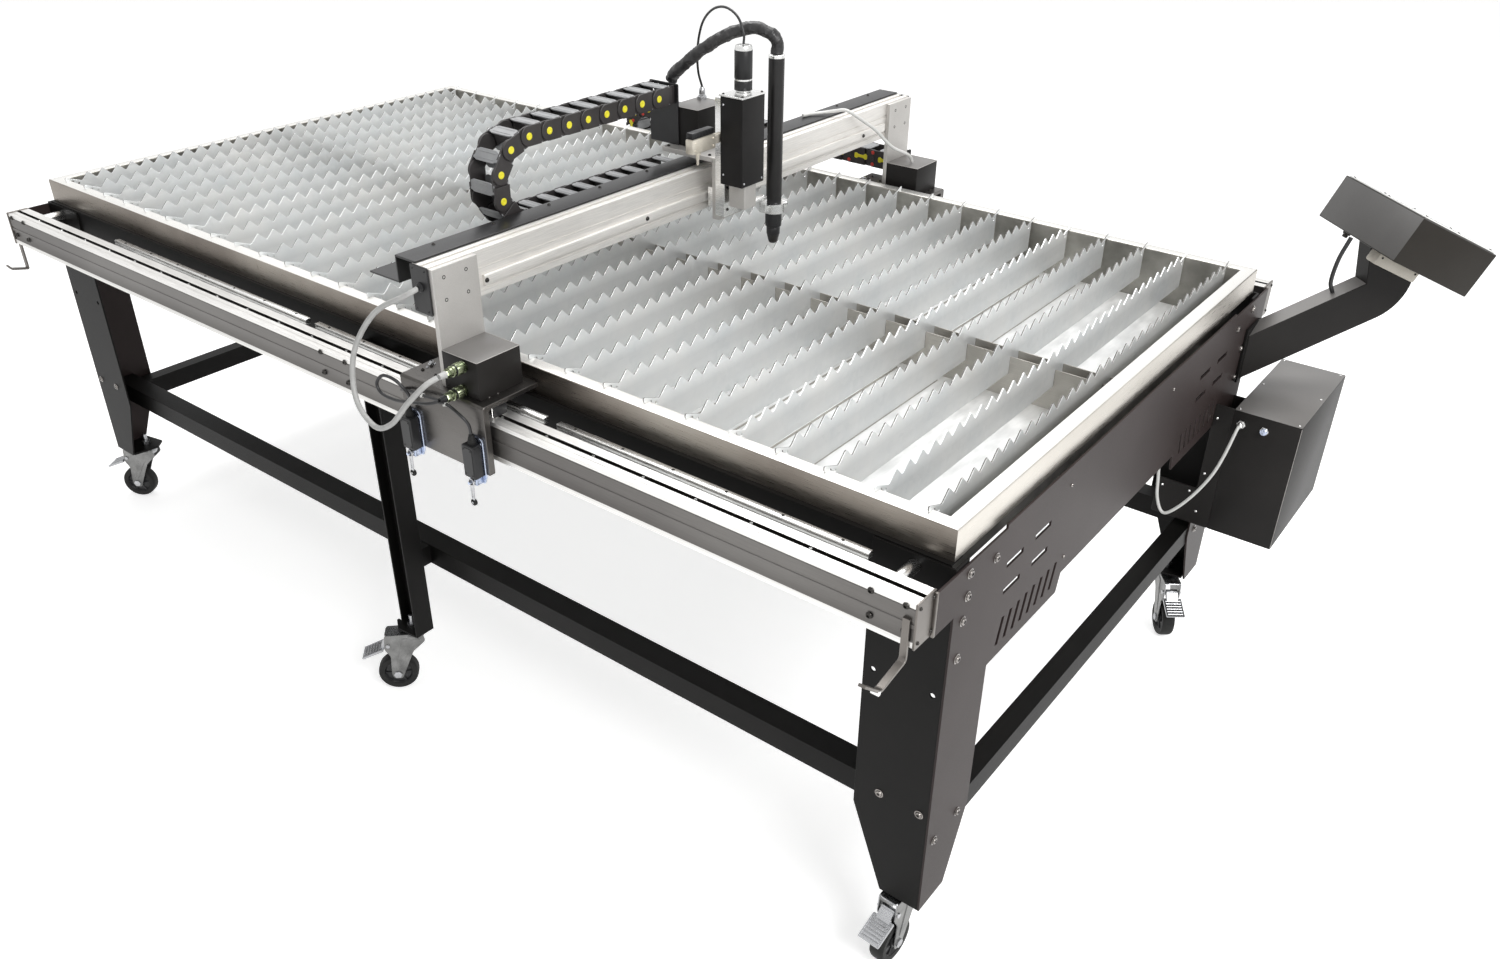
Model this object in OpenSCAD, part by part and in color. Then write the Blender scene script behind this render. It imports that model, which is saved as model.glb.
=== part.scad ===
// CNC plasma table: water pan with sawtooth slats on a sheet-metal frame with six casters,
// a gantry on two side rails, a cross carriage and a height slide that carries the torch.
// Millimetres. +X runs to the console end, +Y to the far long side, +Z up, floor at z = 0.
// Modules are written about the middle of the pan; at_table() moves them to the part's origin.

/* [Water pan] */
// Outer length of the pan rim
pan_l = 2600; // [2590:1:2600]
// Outer width of the pan rim
pan_w = 1310; // [1300:1:1310]
// Height of the rim above the floor
rim_z = 935; // [925:1:935]
// Width of the flat rim
rim_w = 29; // [24:1:29]
// Depth of the rim's outer skirt
skirt_h = 54; // [30:1:54]
// Height of a floor ridge
ridge_h = 3; // [1:0.5:5]

/* [Slats] */
// Number of cross slats
slat_count = 28; // [10:2:28]
// Pitch of the slats
slat_pitch = 92; // [80:1:92]
// Thickness of a slat
slat_t = 2.5; // [1.5:0.5:3]
// Height of the slats' lower edge
slat_foot_z = 868; // [866:1:880]
// Height of the tooth tips above the rim
slat_proud = 15; // [10:1:15]
// Depth of the saw teeth
tooth_depth = 20; // [10:1:24]
// Teeth on one slat
tooth_count = 31; // [20:1:36]

/* [Frame] */
// Thickness of the end panel sheet
panel_t = 4; // [3:0.5:4]
// Width of a corner leg's face
leg_w = 142; // [120:1:150]
// Width of a corner leg's face at its foot
leg_foot_w = 76; // [70:1:90]
// Height at which a corner leg starts to taper
taper_z = 337; // [300:1:380]
// Width of a middle leg
mid_leg_w = 80; // [70:2:90]

/* [Casters] */
// Diameter of a caster wheel
wheel_d = 90; // [84:1:90]
// Width of a caster wheel
wheel_w = 30; // [24:1:32]
// Distance of the wheel axle behind the swivel axis
caster_trail = 46; // [44:1:48]

/* [Gantry] */
// Depth of the gantry beam
beam_d = 40; // [30:1:40]
// Height of the gantry beam
beam_h = 85; // [70:1:95]
// Thickness of a gantry end plate
end_plate_t = 10; // [6:1:10]
// Diameter of the Z motor
z_motor_d = 36; // [30:1:40]
// Diameter of the torch sleeve
torch_d = 33; // [28:1:34]

/* [Console] */
// Size of the console box along its slope
console_l = 207; // [180:1:220]
// Size of the console box across its slope
console_w = 287; // [260:1:300]
// Depth of the console box
console_t = 100; // [80:1:110]

/* [Hidden] */
$fn = 48;

// Middle of the whole part, seen from the middle of the pan
mid_x = 168.06;
mid_y = 82.95;

// Pan
half_l = pan_l / 2;
half_w = pan_w / 2;
sheet = 2;
tub_l = half_l - rim_w;
tub_w = half_w - rim_w;
floor_z = 818;
ridge_w = 8;
drain_at = [-1150, -500];
drain_r = 13;

// Slats
slat_end = 640;
slat_body = 620;
tab_len = 40;
tab_z = rim_z + 11;
tip_z = rim_z + slat_proud;
valley_z = tip_z - tooth_depth;
divider_z = 903;
divider_y = 16;

// Frame: x of the end panels' inner face, |y| of the leg faces
end_x = 1311;
leg_y = 668;
leg_t = 4;
foot_z = 162;
beam_web_y = 664;
beam_low = 774;
beam_top_z = 881;
panel_half = [[0, 880], [515, 880], [515, 873], [722, 873], [722, 794], [668, 794], [668, 162],
              [586, 162], [526, 314], [526, 615], [272, 615], [262, 652], [0, 652]];
dash_at = [[472, 797], [372, 797], [472, 746], [372, 746]];
dash = [57, 9.5];
louvre_first = 500;
louvre_pitch = 27.7;
louvre_count = 8;
louvre_lean = 15;
bolt_at = [[545, 836], [630, 854], [630, 813], [637, 771], [641, 702], [566, 320], [643, 315]];
arm_bolt_at = [[545, 836], [630, 854], [602, 771], [602, 702], [566, 320], [643, 315]];
small_bolt_at = [[-279, 839], [-261, 686], [178, 838]];
leg_bolt_at = [[1218, 383], [1295, 382]];
leg_hole_at = [[1187, 634], [1295, 636]];
corner_stem = [1262, 612];
mid_stem = [0, 690];

// Rails
rail_y = 720;
rail_w = 50;
rail_low = 798;
rail_h = 76;
rail_end = 1306;
rail_top = rail_low + rail_h;
trough_arm_at = [-1130, -665, -200];
rack_from = -905;
rack_to = 1190;

// Casters: swivel positions and the direction in which each one trails
caster_at = [[1262, -612], [0, -690], [-1262, -612], [1262, 612], [0, 690], [-1262, 612]];
caster_turn = [-93, -135, -146, -53, 60, 120];
stem_r = 6;
bore_gap = 0.05;
wheel_r = wheel_d / 2;
pedal_pin = [58, 128];

// Gantry
plate_x0 = 335;
beam_x = plate_x0 - beam_d;
beam_low_z = 1130 - beam_h;
gantry_top = 1130;
beam_end = 775;
flange_z = 901;
flange_top = 910;
rail_leg_y = 776.5;
carriage_out = 790;
switch_x = [263, 430];

// Drag chains
y_chain_r = 80;
y_chain_z = 1185;
y_chain_x = 210;
y_chain_w = 70;
y_chain_h = 38;
y_bend_y = -440;
x_chain_r = 57;
x_chain_z = 886;
x_chain_y = 835;
x_chain_w = 66;
x_chain_h = 46;
x_bend_x = -600;
chain_wall = 3;
chain_gap = 0.4;
chain_play = 2;
chain_pin_r = 6;
x_lower_links = 8;
x_upper_links = 12;
x_pitch = 75;
y_lower_links = 9;
y_lower_pitch = 49;
y_upper_links = 8;
y_upper_pitch = 52;

// Carriage and torch
plate_front = 380;
torch_x = 440;
torch_y = 62;

// Console
console_at = [1542, 882, 1050];
console_tilt = 24.8;
arm_t = 46;

// Routes of the cords: points along each centre line
cord_sides = 8;
loop_cord = [[315, -782.5, 1092], [304, -802, 1082], [236, -824, 1038], [184, -842, 955],
             [197, -862, 876], [255, -872, 843], [312, -876, 868], [356, -870, 918],
             [392, -856, 958], [402, -834.5, 969]];
left_cord = [[395, -833.5, 921.5], [381, -846, 918], [345, -849, 910], [300, -851, 901],
             [262, -852, 903], [250, -850, 919], [265, -845, 936], [290, -838, 930],
             [305, -828, 905], [290, -818, 882], [267, -804, 873], [263, -801, 857.5]];
right_cord = [[240, -794, 880], [262, -798, 887], [309, -800, 893], [372, -805, 900],
              [414, -808, 892], [428, -803, 876], [430, -801, 857]];
far_cord = [[262, 415, 1138.6], [268, 440, 1138.6], [285, 462, 1140], [307, 480, 1144],
            [330, 494, 1147], [348, 507, 1136], [360, 535, 1116], [371, 572, 1090],
            [384, 630, 1040], [396, 694, 1008], [398, 712, 987]];
box_cord = [[1376, 494, 643], [1375, 483, 637], [1364, 476, 575], [1349, 470, 521],
            [1322, 460, 465], [1290, 450, 420], [1268, 446, 408], [1249, 450, 440],
            [1238, 460, 495], [1225, 450, 600], [1210, 440, 700], [1200, 430, 817.5]];
console_cord = [[1435, 772, 880], [1428, 765, 905], [1431, 768, 955], [1442, 779, 1003]];
motor_cord = [[245, 62, 1266.5], [243, 52, 1300], [252, 40, 1350], [282, 20, 1405],
              [330, -6, 1440], [378, -25, 1452], [415, -34, 1440], [433, -38, 1412],
              [433, -38, 1392.5]];
lead_route = [[214, -2, 1287], [228, -4, 1304], [270, -8, 1336], [312, 4, 1368],
              [355, 22, 1394], [390, 38, 1406], [422, 52, 1402], [440, 62, 1384],
              [440, 62, 1360.5]];

module at_table() {
  translate([-mid_x, -mid_y, 0])
    children();
}

// Box between two corners
module bar(a, b) {
  translate(a)
    cube([b[0] - a[0], b[1] - a[1], b[2] - a[2]]);
}

module both_sides() {
  children();
  mirror([0, 1, 0])
    children();
}

module both_ends() {
  children();
  mirror([1, 0, 0])
    children();
}

// A (y, z) outline extruded along +X from x
module along_x(x, t) {
  translate([x, 0, 0])
    rotate([90, 0, 90])
      linear_extrude(t)
        children();
}

// An (x, z) outline extruded along -Y from y
module along_y(y, t) {
  translate([0, y, 0])
    rotate([90, 0, 0])
      linear_extrude(t)
        children();
}

// Rod along +Y
module rod_y(at, r, h) {
  translate(at)
    rotate([-90, 0, 0])
      cylinder(r = r, h = h);
}

// Rod along +X
module rod_x(at, r, h) {
  translate(at)
    rotate([0, 90, 0])
      cylinder(r = r, h = h);
}

// A cord: rings of points along a route, joined by triangles
function unit(v) = v / norm(v);
function heading(p, i) = unit(p[min(i + 1, len(p) - 1)] - p[max(i - 1, 0)]);
function ring(p, i, r, side) =
  let (t = heading(p, i), u = unit(cross(t, side)), v = cross(t, u))
  [for (k = [0 : cord_sides - 1])
    p[i] + r * cos(k * 360 / cord_sides) * u + r * sin(k * 360 / cord_sides) * v];
function wrap(k) = (k + 1) % cord_sides;

module cord(route, d, side) {
  last = len(route) - 1;
  points = [for (i = [0 : last]) each ring(route, i, d / 2, side)];
  near_cap = [for (k = [1 : cord_sides - 2]) [0, k, k + 1]];
  far_cap = [for (k = [1 : cord_sides - 2])
    [last * cord_sides, last * cord_sides + k + 1, last * cord_sides + k]];
  walls = [for (i = [0 : last - 1], k = [0 : cord_sides - 1])
    each [[i * cord_sides + k, (i + 1) * cord_sides + k, (i + 1) * cord_sides + wrap(k)],
          [i * cord_sides + k, (i + 1) * cord_sides + wrap(k), i * cord_sides + wrap(k)]]];
  polyhedron(points, concat(near_cap, far_cap, walls));
}

module water_pan() {
  color("silver")
  difference() {
    union() {
      difference() {
        bar([-half_l, -half_w, rim_z - skirt_h], [half_l, half_w, rim_z]);
        bar([-half_l + sheet, -half_w + sheet, rim_z - skirt_h - 1],
            [half_l - sheet, half_w - sheet, rim_z - sheet]);
        bar([-tub_l, -tub_w, rim_z - skirt_h - 1], [tub_l, tub_w, rim_z + 1]);
      }
      difference() {
        bar([-tub_l - sheet, -tub_w - sheet, floor_z], [tub_l + sheet, tub_w + sheet, rim_z - 1]);
        bar([-tub_l, -tub_w, floor_z + sheet], [tub_l, tub_w, rim_z + 1]);
      }
      for (i = [0 : slat_count - 2])
        translate([(i - slat_count / 2 + 1) * slat_pitch, 0, floor_z + sheet])
          both_sides()
            translate([-ridge_w / 2, 40, -1])
              cube([ridge_w, tub_w - 70, ridge_h + 1]);
    }
    translate([drain_at[0], drain_at[1], floor_z - 1])
      cylinder(r = drain_r, h = 10);
  }
}

module pan_drain() {
  color("dimgray")
  difference() {
    translate([drain_at[0], drain_at[1], 0]) {
      translate([0, 0, 776])
        cylinder(r = 18, h = floor_z - 776);
      translate([0, 0, floor_z - 5])
        cylinder(r = 30, h = 5);
    }
    translate([drain_at[0], drain_at[1], 770])
      cylinder(r = drain_r, h = 60);
  }
}

// Comb along the middle of the pan: two slotted strips that the slats stand in
module slat_divider() {
  slot = slat_t + 1;
  color("silver")
  for (y = [-divider_y, divider_y + sheet])
    along_y(y, sheet)
      difference() {
        translate([-tub_l + 1, floor_z + sheet])
          square([2 * tub_l - 2, divider_z - floor_z - sheet]);
        for (i = [0 : slat_count - 1])
          translate([(i - slat_count / 2 + 0.5) * slat_pitch - slot / 2, slat_foot_z - 1])
            square([slot, 60]);
      }
}

module slats() {
  run = 2 * (slat_end - tab_len);
  pitch = run / tooth_count;
  left = -slat_end + tab_len;
  color("lightsteelblue")
  for (i = [0 : slat_count - 1])
    along_x((i - slat_count / 2 + 0.5) * slat_pitch - slat_t / 2, slat_t)
      polygon(concat(
        [[-slat_body, slat_foot_z], [-slat_body, rim_z], [-slat_end, rim_z], [-slat_end, tab_z]],
        [for (k = [0 : tooth_count - 1])
          each [[left + k * pitch, valley_z], [left + (k + 0.5) * pitch, tip_z]]],
        [[-left, valley_z], [slat_end, tab_z], [slat_end, rim_z],
         [slat_body, rim_z], [slat_body, slat_foot_z]]));
}

module side_beams() {
  flange = tub_w + 3.5;
  color("#1c1b1a")
  both_sides() {
    bar([-half_l, beam_web_y - leg_t, beam_low], [half_l, beam_web_y, beam_top_z]);
    bar([-half_l, flange, beam_top_z - leg_t], [half_l, beam_web_y - leg_t, beam_top_z]);
    bar([-half_l, flange, beam_low], [half_l, beam_web_y - leg_t, beam_low + leg_t]);
  }
}

module cross_members() {
  reach = beam_web_y - leg_t;
  color("#1c1b1a")
  for (x = [-1040, -520, 0, 520, 1040])
    difference() {
      bar([x - 20, -reach, beam_low + leg_t], [x + 20, reach, floor_z]);
      bar([x - 17, -reach - 1, beam_low + leg_t + 3], [x + 17, reach + 1, floor_z - 3]);
    }
}

module panel_openings(side) {
  for (p = dash_at)
    translate([side * p[0], p[1]])
      square(dash, center = true);
  for (i = [0 : louvre_count - 1])
    translate([side * (louvre_first - i * louvre_pitch - 7), 665])
      rotate(side * louvre_lean)
        square([10, 52], center = true);
}

module end_panels() {
  last = len(panel_half) - 2;
  color("#2b2827")
  both_ends()
    along_x(end_x, panel_t)
      difference() {
        polygon(concat(panel_half,
          [for (i = [last : -1 : 1]) [-panel_half[i][0], panel_half[i][1]]]));
        panel_openings(1);
        panel_openings(-1);
      }
}

module corner_legs() {
  color("#201e1d")
  both_ends()
    both_sides() {
      along_y(leg_y, leg_t)
        difference() {
          polygon([[end_x - leg_w, 878], [end_x, 878], [end_x, foot_z],
                   [end_x - leg_foot_w, foot_z], [end_x - leg_w, taper_z]]);
          for (p = leg_hole_at)
            translate(p)
              circle(r = 5, $fn = 8);
        }
      bar([end_x - leg_t, 628, foot_z], [end_x, leg_y - leg_t, 878]);
      translate([0, 0, foot_z])
        linear_extrude(5)
          difference() {
            polygon([[1307, 664], [1232, 664], [1222, 600], [1246, 574], [1307, 586]]);
            translate(corner_stem)
              circle(r = stem_r + 0.5);
          }
    }
}

module middle_legs() {
  w = mid_leg_w / 2;
  color("#201e1d")
  both_sides() {
    bar([-w, beam_web_y, foot_z], [w, leg_y, 855]);
    bar([w - leg_t, leg_y, foot_z], [w, 711, 855]);
    bar([-w, leg_y, foot_z], [-w + leg_t, 691, 855]);
    translate([0, 0, foot_z])
      linear_extrude(5)
        difference() {
          polygon([[-w + leg_t, 668], [w - leg_t, 668], [w - leg_t, 712], [-20, 716], [-w - 6, 698],
                   [-w - 6, 692], [-w + leg_t, 692]]);
          translate(mid_stem)
            circle(r = stem_r + 0.5);
        }
  }
}

module stretchers() {
  color("#1c1b1a") {
    both_sides() {
      difference() {
        bar([-end_x, 575, 310], [end_x, 625, 360]);
        bar([-end_x - 1, 578, 313], [end_x + 1, 622, 357]);
      }
      bar([-15, 625, 312], [15, beam_web_y, 358]);
    }
    both_ends()
      difference() {
        bar([end_x - 40, -575, 292], [end_x, 575, 342]);
        bar([end_x - 37, -576, 295], [end_x - 3, 576, 339]);
      }
  }
}

// Fixed part of the casters: stem, race, nut
module caster_mounts() {
  color("silver")
  for (p = caster_at)
    translate([p[0], p[1], 0]) {
      translate([0, 0, 134])
        cylinder(r = stem_r, h = 64, $fn = 24);
      translate([0, 0, 134])
        cylinder(r = 10, h = 5.6, $fn = 24);
      translate([0, 0, 156.4])
        cylinder(r = 17, h = foot_z - 156.4, $fn = 24);
      translate([0, 0, foot_z + 5])
        cylinder(r = 11, h = 11, $fn = 6);
    }
}

module fork() {
  color("silver") {
    difference() {
      union() {
        translate([0, 0, 140])
          cylinder(r = 25, h = 16);
        bar([0, -20, 149], [64, 20, 156]);
      }
      translate([0, 0, 130])
        cylinder(r = stem_r + bore_gap, h = 40);
    }
    for (y = [-17, 20])
      along_y(y, 3)
        polygon([[-24, 156], [-27, 122], [caster_trail - 16, 44], [caster_trail - 8, 33],
                 [caster_trail + 8, 33], [caster_trail + 16, 44], [67, 100], [64, 156]]);
    rod_y([caster_trail, -24, wheel_r], stem_r, 48);
    rod_y([pedal_pin[0], -18, pedal_pin[1]], 3, 36);
  }
}

module wheel() {
  half = wheel_w / 2;
  color("#151515")
  translate([caster_trail, 0, wheel_r])
    rotate([90, 0, 0])
      rotate_extrude()
        polygon([[stem_r + bore_gap, -half], [wheel_r - 3, -half], [wheel_r, -half + 4],
                 [wheel_r, half - 4], [wheel_r - 3, half], [stem_r + bore_gap, half]]);
}

module pedal() {
  color("silver")
  difference() {
    union() {
      rod_y([pedal_pin[0], -14, pedal_pin[1]], 7, 28);
      along_y(14, 28)
        polygon([[54, 133], [54, 124], [62, 120], [80, 106], [82, 113], [64, 133]]);
      along_y(22, 44)
        polygon([[72, 119], [70, 112], [118, 93], [120, 99]]);
    }
    rod_y([pedal_pin[0], -30, pedal_pin[1]], 3 + bore_gap, 60);
  }
}

module on_caster(i) {
  translate([caster_at[i][0], caster_at[i][1], 0])
    rotate(caster_turn[i])
      children();
}

module guide_rails() {
  color("#b9babb")
  both_sides()
    along_x(-rail_end, 2 * rail_end)
      difference() {
        translate([rail_y, rail_low])
          square([rail_w, rail_h]);
        translate([rail_y + 7, rail_low + 8])
          square([rail_w - 14, 50]);
        translate([rail_y + 20, rail_top - 8])
          square([9, 9]);
        translate([rail_y + rail_w - 3, rail_low + 40])
          square([4, 5]);
        translate([rail_y + rail_w - 2, rail_low + 10])
          square([3, 24]);
      }
}

module gear_racks() {
  color("#d8d8d4")
  both_sides() {
    bar([rack_from, 700, rail_top - 8], [rack_to, 712, rail_top + 6]);
    bar([rack_from, 712, rail_top - 8], [rack_to, rail_y, rail_top - 4]);
  }
}

// End covers, stand-offs and hooks of the rails, and the trough of the long chain
module rail_brackets() {
  color("#8d8c8a") {
    both_ends()
      both_sides() {
        bar([rail_end, rail_y, 796], [rail_end + 4, 772, 876]);
        bar([rail_end + 4, 722, 794], [end_x + panel_t, 727, 873]);
        rod_y([1243, leg_y, 858], 11, rail_y - leg_y);
      }
    both_sides()
      bar([20, 711, 812], [40, rail_y, 848]);
    translate([1288, 0, 0])
      along_x(0, 12)
        polygon([[-770, 848], [-770, 771], [-838, 757], [-884, 797], [-880, 801],
                 [-837, 763], [-775, 776], [-775, 848]]);
    along_x(-rail_end - 16, 12)
      polygon([[-756, 850], [-756, 722], [-798, 732], [-806, 744], [-802, 747],
               [-796, 737], [-761, 728], [-761, 850]]);
  }
  color("#1c1b1a") {
    bar([-rail_end, 799, 800], [20, 873, 803]);
    bar([-rail_end, 870, 803], [20, 873, 850]);
    for (x = trough_arm_at) {
      bar([x - 15, 640, 764], [x + 15, 804, 768]);
      bar([x - 15, 640, 768], [x + 15, 660, beam_low]);
      bar([x - 15, 800, 768], [x + 15, 804, 800]);
    }
  }
}

// Button heads on the end panels and on the leg faces
module frame_bolts() {
  color("#3a3836") {
    for (p = arm_bolt_at)
      rod_x([end_x + panel_t, p[0], p[1]], 7, 5, $fn = 8);
    for (p = bolt_at) {
      rod_x([end_x + panel_t, -p[0], p[1]], 7, 5, $fn = 8);
      both_sides()
        rod_x([-end_x - panel_t - 5, p[0], p[1]], 7, 5, $fn = 8);
    }
    for (p = small_bolt_at)
      both_ends()
        rod_x([end_x + panel_t, p[0], p[1]], 4, 3, $fn = 8);
    both_ends()
      both_sides()
        for (p = leg_bolt_at)
          rod_y([p[0], leg_y, p[1]], 7, 4, $fn = 8);
  }
}

module control_box() {
  color("#232120") {
    difference() {
      bar([1355, 510, 366], [1498, 840, 672]);
      bar([1357, 512, 368], [1496, 838, 670]);
    }
    bar([end_x + panel_t, 510, 366], [1355, 514, 672]);
    bar([1224, 510, 366], [end_x + panel_t, 514, 457]);
    bar([end_x + panel_t, 540, 420], [1355, 544, 640]);
    bar([end_x + panel_t, 644, 420], [1355, 648, 640]);
  }
  color("silver") {
    rod_y([1376, 496, 643], 8, 14, $fn = 24);
    rod_y([1425, 500, 642], 8, 10, $fn = 24);
  }
}

// Cranked square tube in the upright plane that turns 45 degrees out of the end
module console_arm() {
  color("#232120") {
    difference() {
      translate([end_x + panel_t, 652, 0])
        rotate(45)
          along_y(arm_t / 2, arm_t)
            polygon([[-60, 673], [-60, 776], [0, 800], [229, 905], [214, 994],
                     [333, 941], [340, 890], [308, 832], [0, 697]]);
      bar([1200, 500, 600], [end_x + panel_t + 6, 800, 900]);
      console_space();
    }
    bar([end_x + panel_t, 612, 685], [end_x + panel_t + 6, 700, 812]);
  }
}

module on_console() {
  translate(console_at)
    rotate([0, 0, 45])
      rotate([0, console_tilt, 0])
        children();
}

module console_space() {
  on_console()
    bar([-console_l / 2, -console_w / 2, -console_t], [console_l / 2, console_w / 2, 0]);
}

module console_box() {
  l = console_l / 2;
  w = console_w / 2;
  color("#2a2827")
  difference() {
    console_space();
    on_console()
      bar([-l + 3, -w + 3, -console_t + 3], [l - 3, w - 3, -3]);
  }
  color("silver")
  on_console()
    bar([-l + 4, -w + 4, 0], [l - 4, w - 4, 3]);
  color("#d9d5c8")
  on_console()
    bar([-70, -61, -console_t - 26], [45, -26, -console_t]);
}

// Side of a link from its pin to a straight edge, with a round end about the pin if it turns
module lug(pin, to, h, turns) {
  if (turns)
    translate([pin, 0])
      circle(r = h / 2);
  translate([min(pin, to), -h / 2])
    square([abs(to - pin), h]);
}

// One link along +X: it laps outside the link before it and inside the next one
module chain_link(pitch, w, h, front, back) {
  neck = h / 2 + chain_play;
  lap_y = w / 2 - chain_wall;
  both_sides() {
    along_y(w / 2, chain_wall)
      lug(0, pitch - neck, h, front);
    along_y(lap_y - chain_gap, chain_wall)
      lug(pitch, neck, h, back);
    along_y(w / 2, 2 * chain_wall + chain_gap)
      translate([neck, -h / 2])
        square([pitch - 2 * neck, h]);
    if (front)
      rod_y([0, lap_y, 0], chain_pin_r, chain_wall + 1, $fn = 24);
  }
  for (z = [-h / 2, h / 2 - chain_wall])
    translate([0.33 * h, -lap_y, z])
      cube([pitch - 0.66 * h, 2 * lap_y, chain_wall]);
}

// Straight run of links; flat = [first, last] says which ends are bolted down instead of turning
module chain_run(count, pitch, w, h, flat) {
  for (i = [0 : count - 1])
    translate([i * pitch, 0, 0])
      chain_link(pitch, w, h, !(flat[0] && i == 0), !(flat[1] && i == count - 1));
}

// Half turn of links about the origin, opening toward +X, from below to above
module chain_turn(count, r, w, h) {
  step = 180 / count;
  pitch = 2 * r * sin(step / 2);
  for (i = [0 : count - 1])
    rotate([0, -90 + (i + 0.5) * step + 180, 0])
      translate([r * cos(step / 2), 0, 0])
        rotate([0, 90, 0])
          translate([-pitch / 2, 0, 0])
            chain_link(pitch, w, h, true, true);
}

module x_chain_lower() {
  color("#1d1c1c")
  translate([x_bend_x + x_lower_links * x_pitch, x_chain_y, x_chain_z - x_chain_r])
    rotate(180)
      chain_run(x_lower_links, x_pitch, x_chain_w, x_chain_h, [true, false]);
}

module x_chain_upper() {
  color("#1d1c1c")
  translate([x_bend_x, x_chain_y, x_chain_z + x_chain_r])
    chain_run(x_upper_links, x_pitch, x_chain_w, x_chain_h, [false, true]);
}

module x_chain_bend() {
  color("#1d1c1c")
  translate([x_bend_x, x_chain_y, x_chain_z])
    chain_turn(3, x_chain_r, x_chain_w, x_chain_h);
}

module y_chain_lower() {
  color("#1d1c1c")
  translate([y_chain_x, y_bend_y + y_lower_links * y_lower_pitch, y_chain_z - y_chain_r])
    rotate(-90)
      chain_run(y_lower_links, y_lower_pitch, y_chain_w, y_chain_h, [true, false]);
}

module y_chain_upper() {
  color("#1d1c1c")
  translate([y_chain_x, y_bend_y, y_chain_z + y_chain_r])
    rotate(90)
      chain_run(y_upper_links, y_upper_pitch, y_chain_w, y_chain_h, [false, true]);
}

module y_chain_bend() {
  color("#1d1c1c")
  translate([y_chain_x, y_bend_y, y_chain_z])
    rotate(90)
      chain_turn(5, y_chain_r, y_chain_w, y_chain_h);
}

module table_cords() {
  color("#c9c9c6")
  cord(box_cord, 7, [0, 1, 0.2]);
  color("#1a1a1a")
  cord(console_cord, 9, [1, -1, 0]);
}

// Extrusion with the belt strip before it, and behind it the shelf under the chain's lower run
module gantry_beam() {
  color("#c4c3c0") {
    along_y(beam_end, 2 * beam_end)
      difference() {
        translate([beam_x, beam_low_z])
          square([beam_d, beam_h]);
        translate([beam_x + 5, beam_low_z + 6])
          square([beam_d - 10, 30]);
        translate([beam_x + 5, beam_low_z + 44])
          square([beam_d - 10, 30]);
        translate([plate_x0 - 2, beam_low_z + 52])
          square([3, 5]);
        translate([plate_x0 - 2, beam_low_z + 12])
          square([3, 5]);
        translate([beam_x + 20, gantry_top - 5])
          square([8, 6]);
      }
    bar([plate_x0, -660, 1064], [plate_x0 + 7, 660, 1084]);
  }
  color("#161616") {
    bar([250, -beam_end, gantry_top], [beam_x + 8, beam_end, gantry_top + 4]);
    bar([250, -beam_end, 1083], [253, beam_end, gantry_top]);
    bar([172, -beam_end, 1083], [253, 20, 1086]);
  }
}

module gantry_end_plates() {
  color("#aeadab")
  both_sides()
    difference() {
      bar([plate_x0, 675, flange_top], [plate_x0 + end_plate_t, beam_end, 1128]);
      for (p = [[694, 1060], [694, 1104], [738, 1060], [738, 1104]])
        rod_x([plate_x0 + end_plate_t - 3, p[0], p[1]], 3.5, 4, $fn = 8);
    }
  color("#161616")
  both_sides()
    bar([beam_x - 3, beam_end, beam_low_z - 2], [plate_x0 + 2, beam_end + 4, gantry_top]);
}

// L-shaped brackets that ride on the guide rails, with their bearing blocks
module rail_carriages() {
  color("#a9a8a6") {
    both_sides() {
      bar([235, 660, flange_z], [455, carriage_out, flange_top]);
      bar([235, rail_leg_y, 775], [455, carriage_out, flange_top]);
      for (x = [245, 385])
        bar([x, 728, rail_top + 0.4], [x + 60, 762, flange_z]);
    }
    bar([300, carriage_out, 918], [304, 868, 968]);
    bar([284, carriage_out, 860], [304, 796, 968]);
  }
}

module gantry_motor_boxes() {
  color("#242221")
  both_sides()
    difference() {
      bar([plate_x0 + end_plate_t, 676, flange_top], [435, 776, 983]);
      bar([plate_x0 + end_plate_t + 2, 678, flange_top - 1], [433, 774, 981]);
    }
}

module motor_connectors() {
  color("#6f7a68")
  for (p = [[402, 969], [395, 921.5]]) {
    rod_y([p[0], -804, p[1]], 11, 28, $fn = 24);
    rod_y([p[0], -818, p[1]], 8.5, 14, $fn = 24);
    rod_y([p[0], -831, p[1]], 6, 13, $fn = 24);
  }
}

module limit_switches() {
  for (x = switch_x) {
    color("#c8ccd0") {
      bar([x - 19, -794, 756], [x + 19, -carriage_out, 848]);
      bar([x - 10, -809, 756], [x + 10, -794, 772.5]);
      rod_y([x, -819, 765], 3, 10, $fn = 24);
    }
    color("#151515") {
      bar([x - 15, -814, 773], [x + 15, -794, 838]);
      translate([x, -801, 838])
        cylinder(r = 7, h = 18, $fn = 24);
    }
  }
}

module switch_lever(x) {
  color("#c8ccd0")
  difference() {
    union() {
      rod_y([x, -814, 765], 7, 4.7, $fn = 24);
      bar([x - 3.5, -814, 726], [x + 3.5, -811, 765]);
    }
    rod_y([x, -820, 765], 3 + bore_gap, 20, $fn = 24);
  }
  color("#111111")
  rod_y([x, -816, 723], 7, 9, $fn = 24);
}

module gantry_cords() {
  color("#8f9092")
  cord(loop_cord, 10, [0.2, 1, 0]);
  color("#141414")
  cord(left_cord, 6, [0, 1, 0]);
  color("#141414")
  cord(right_cord, 6, [0, 1, 0]);
  color("#b5b6b6")
  cord(far_cord, 8, [1, 0, 0]);
}

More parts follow.
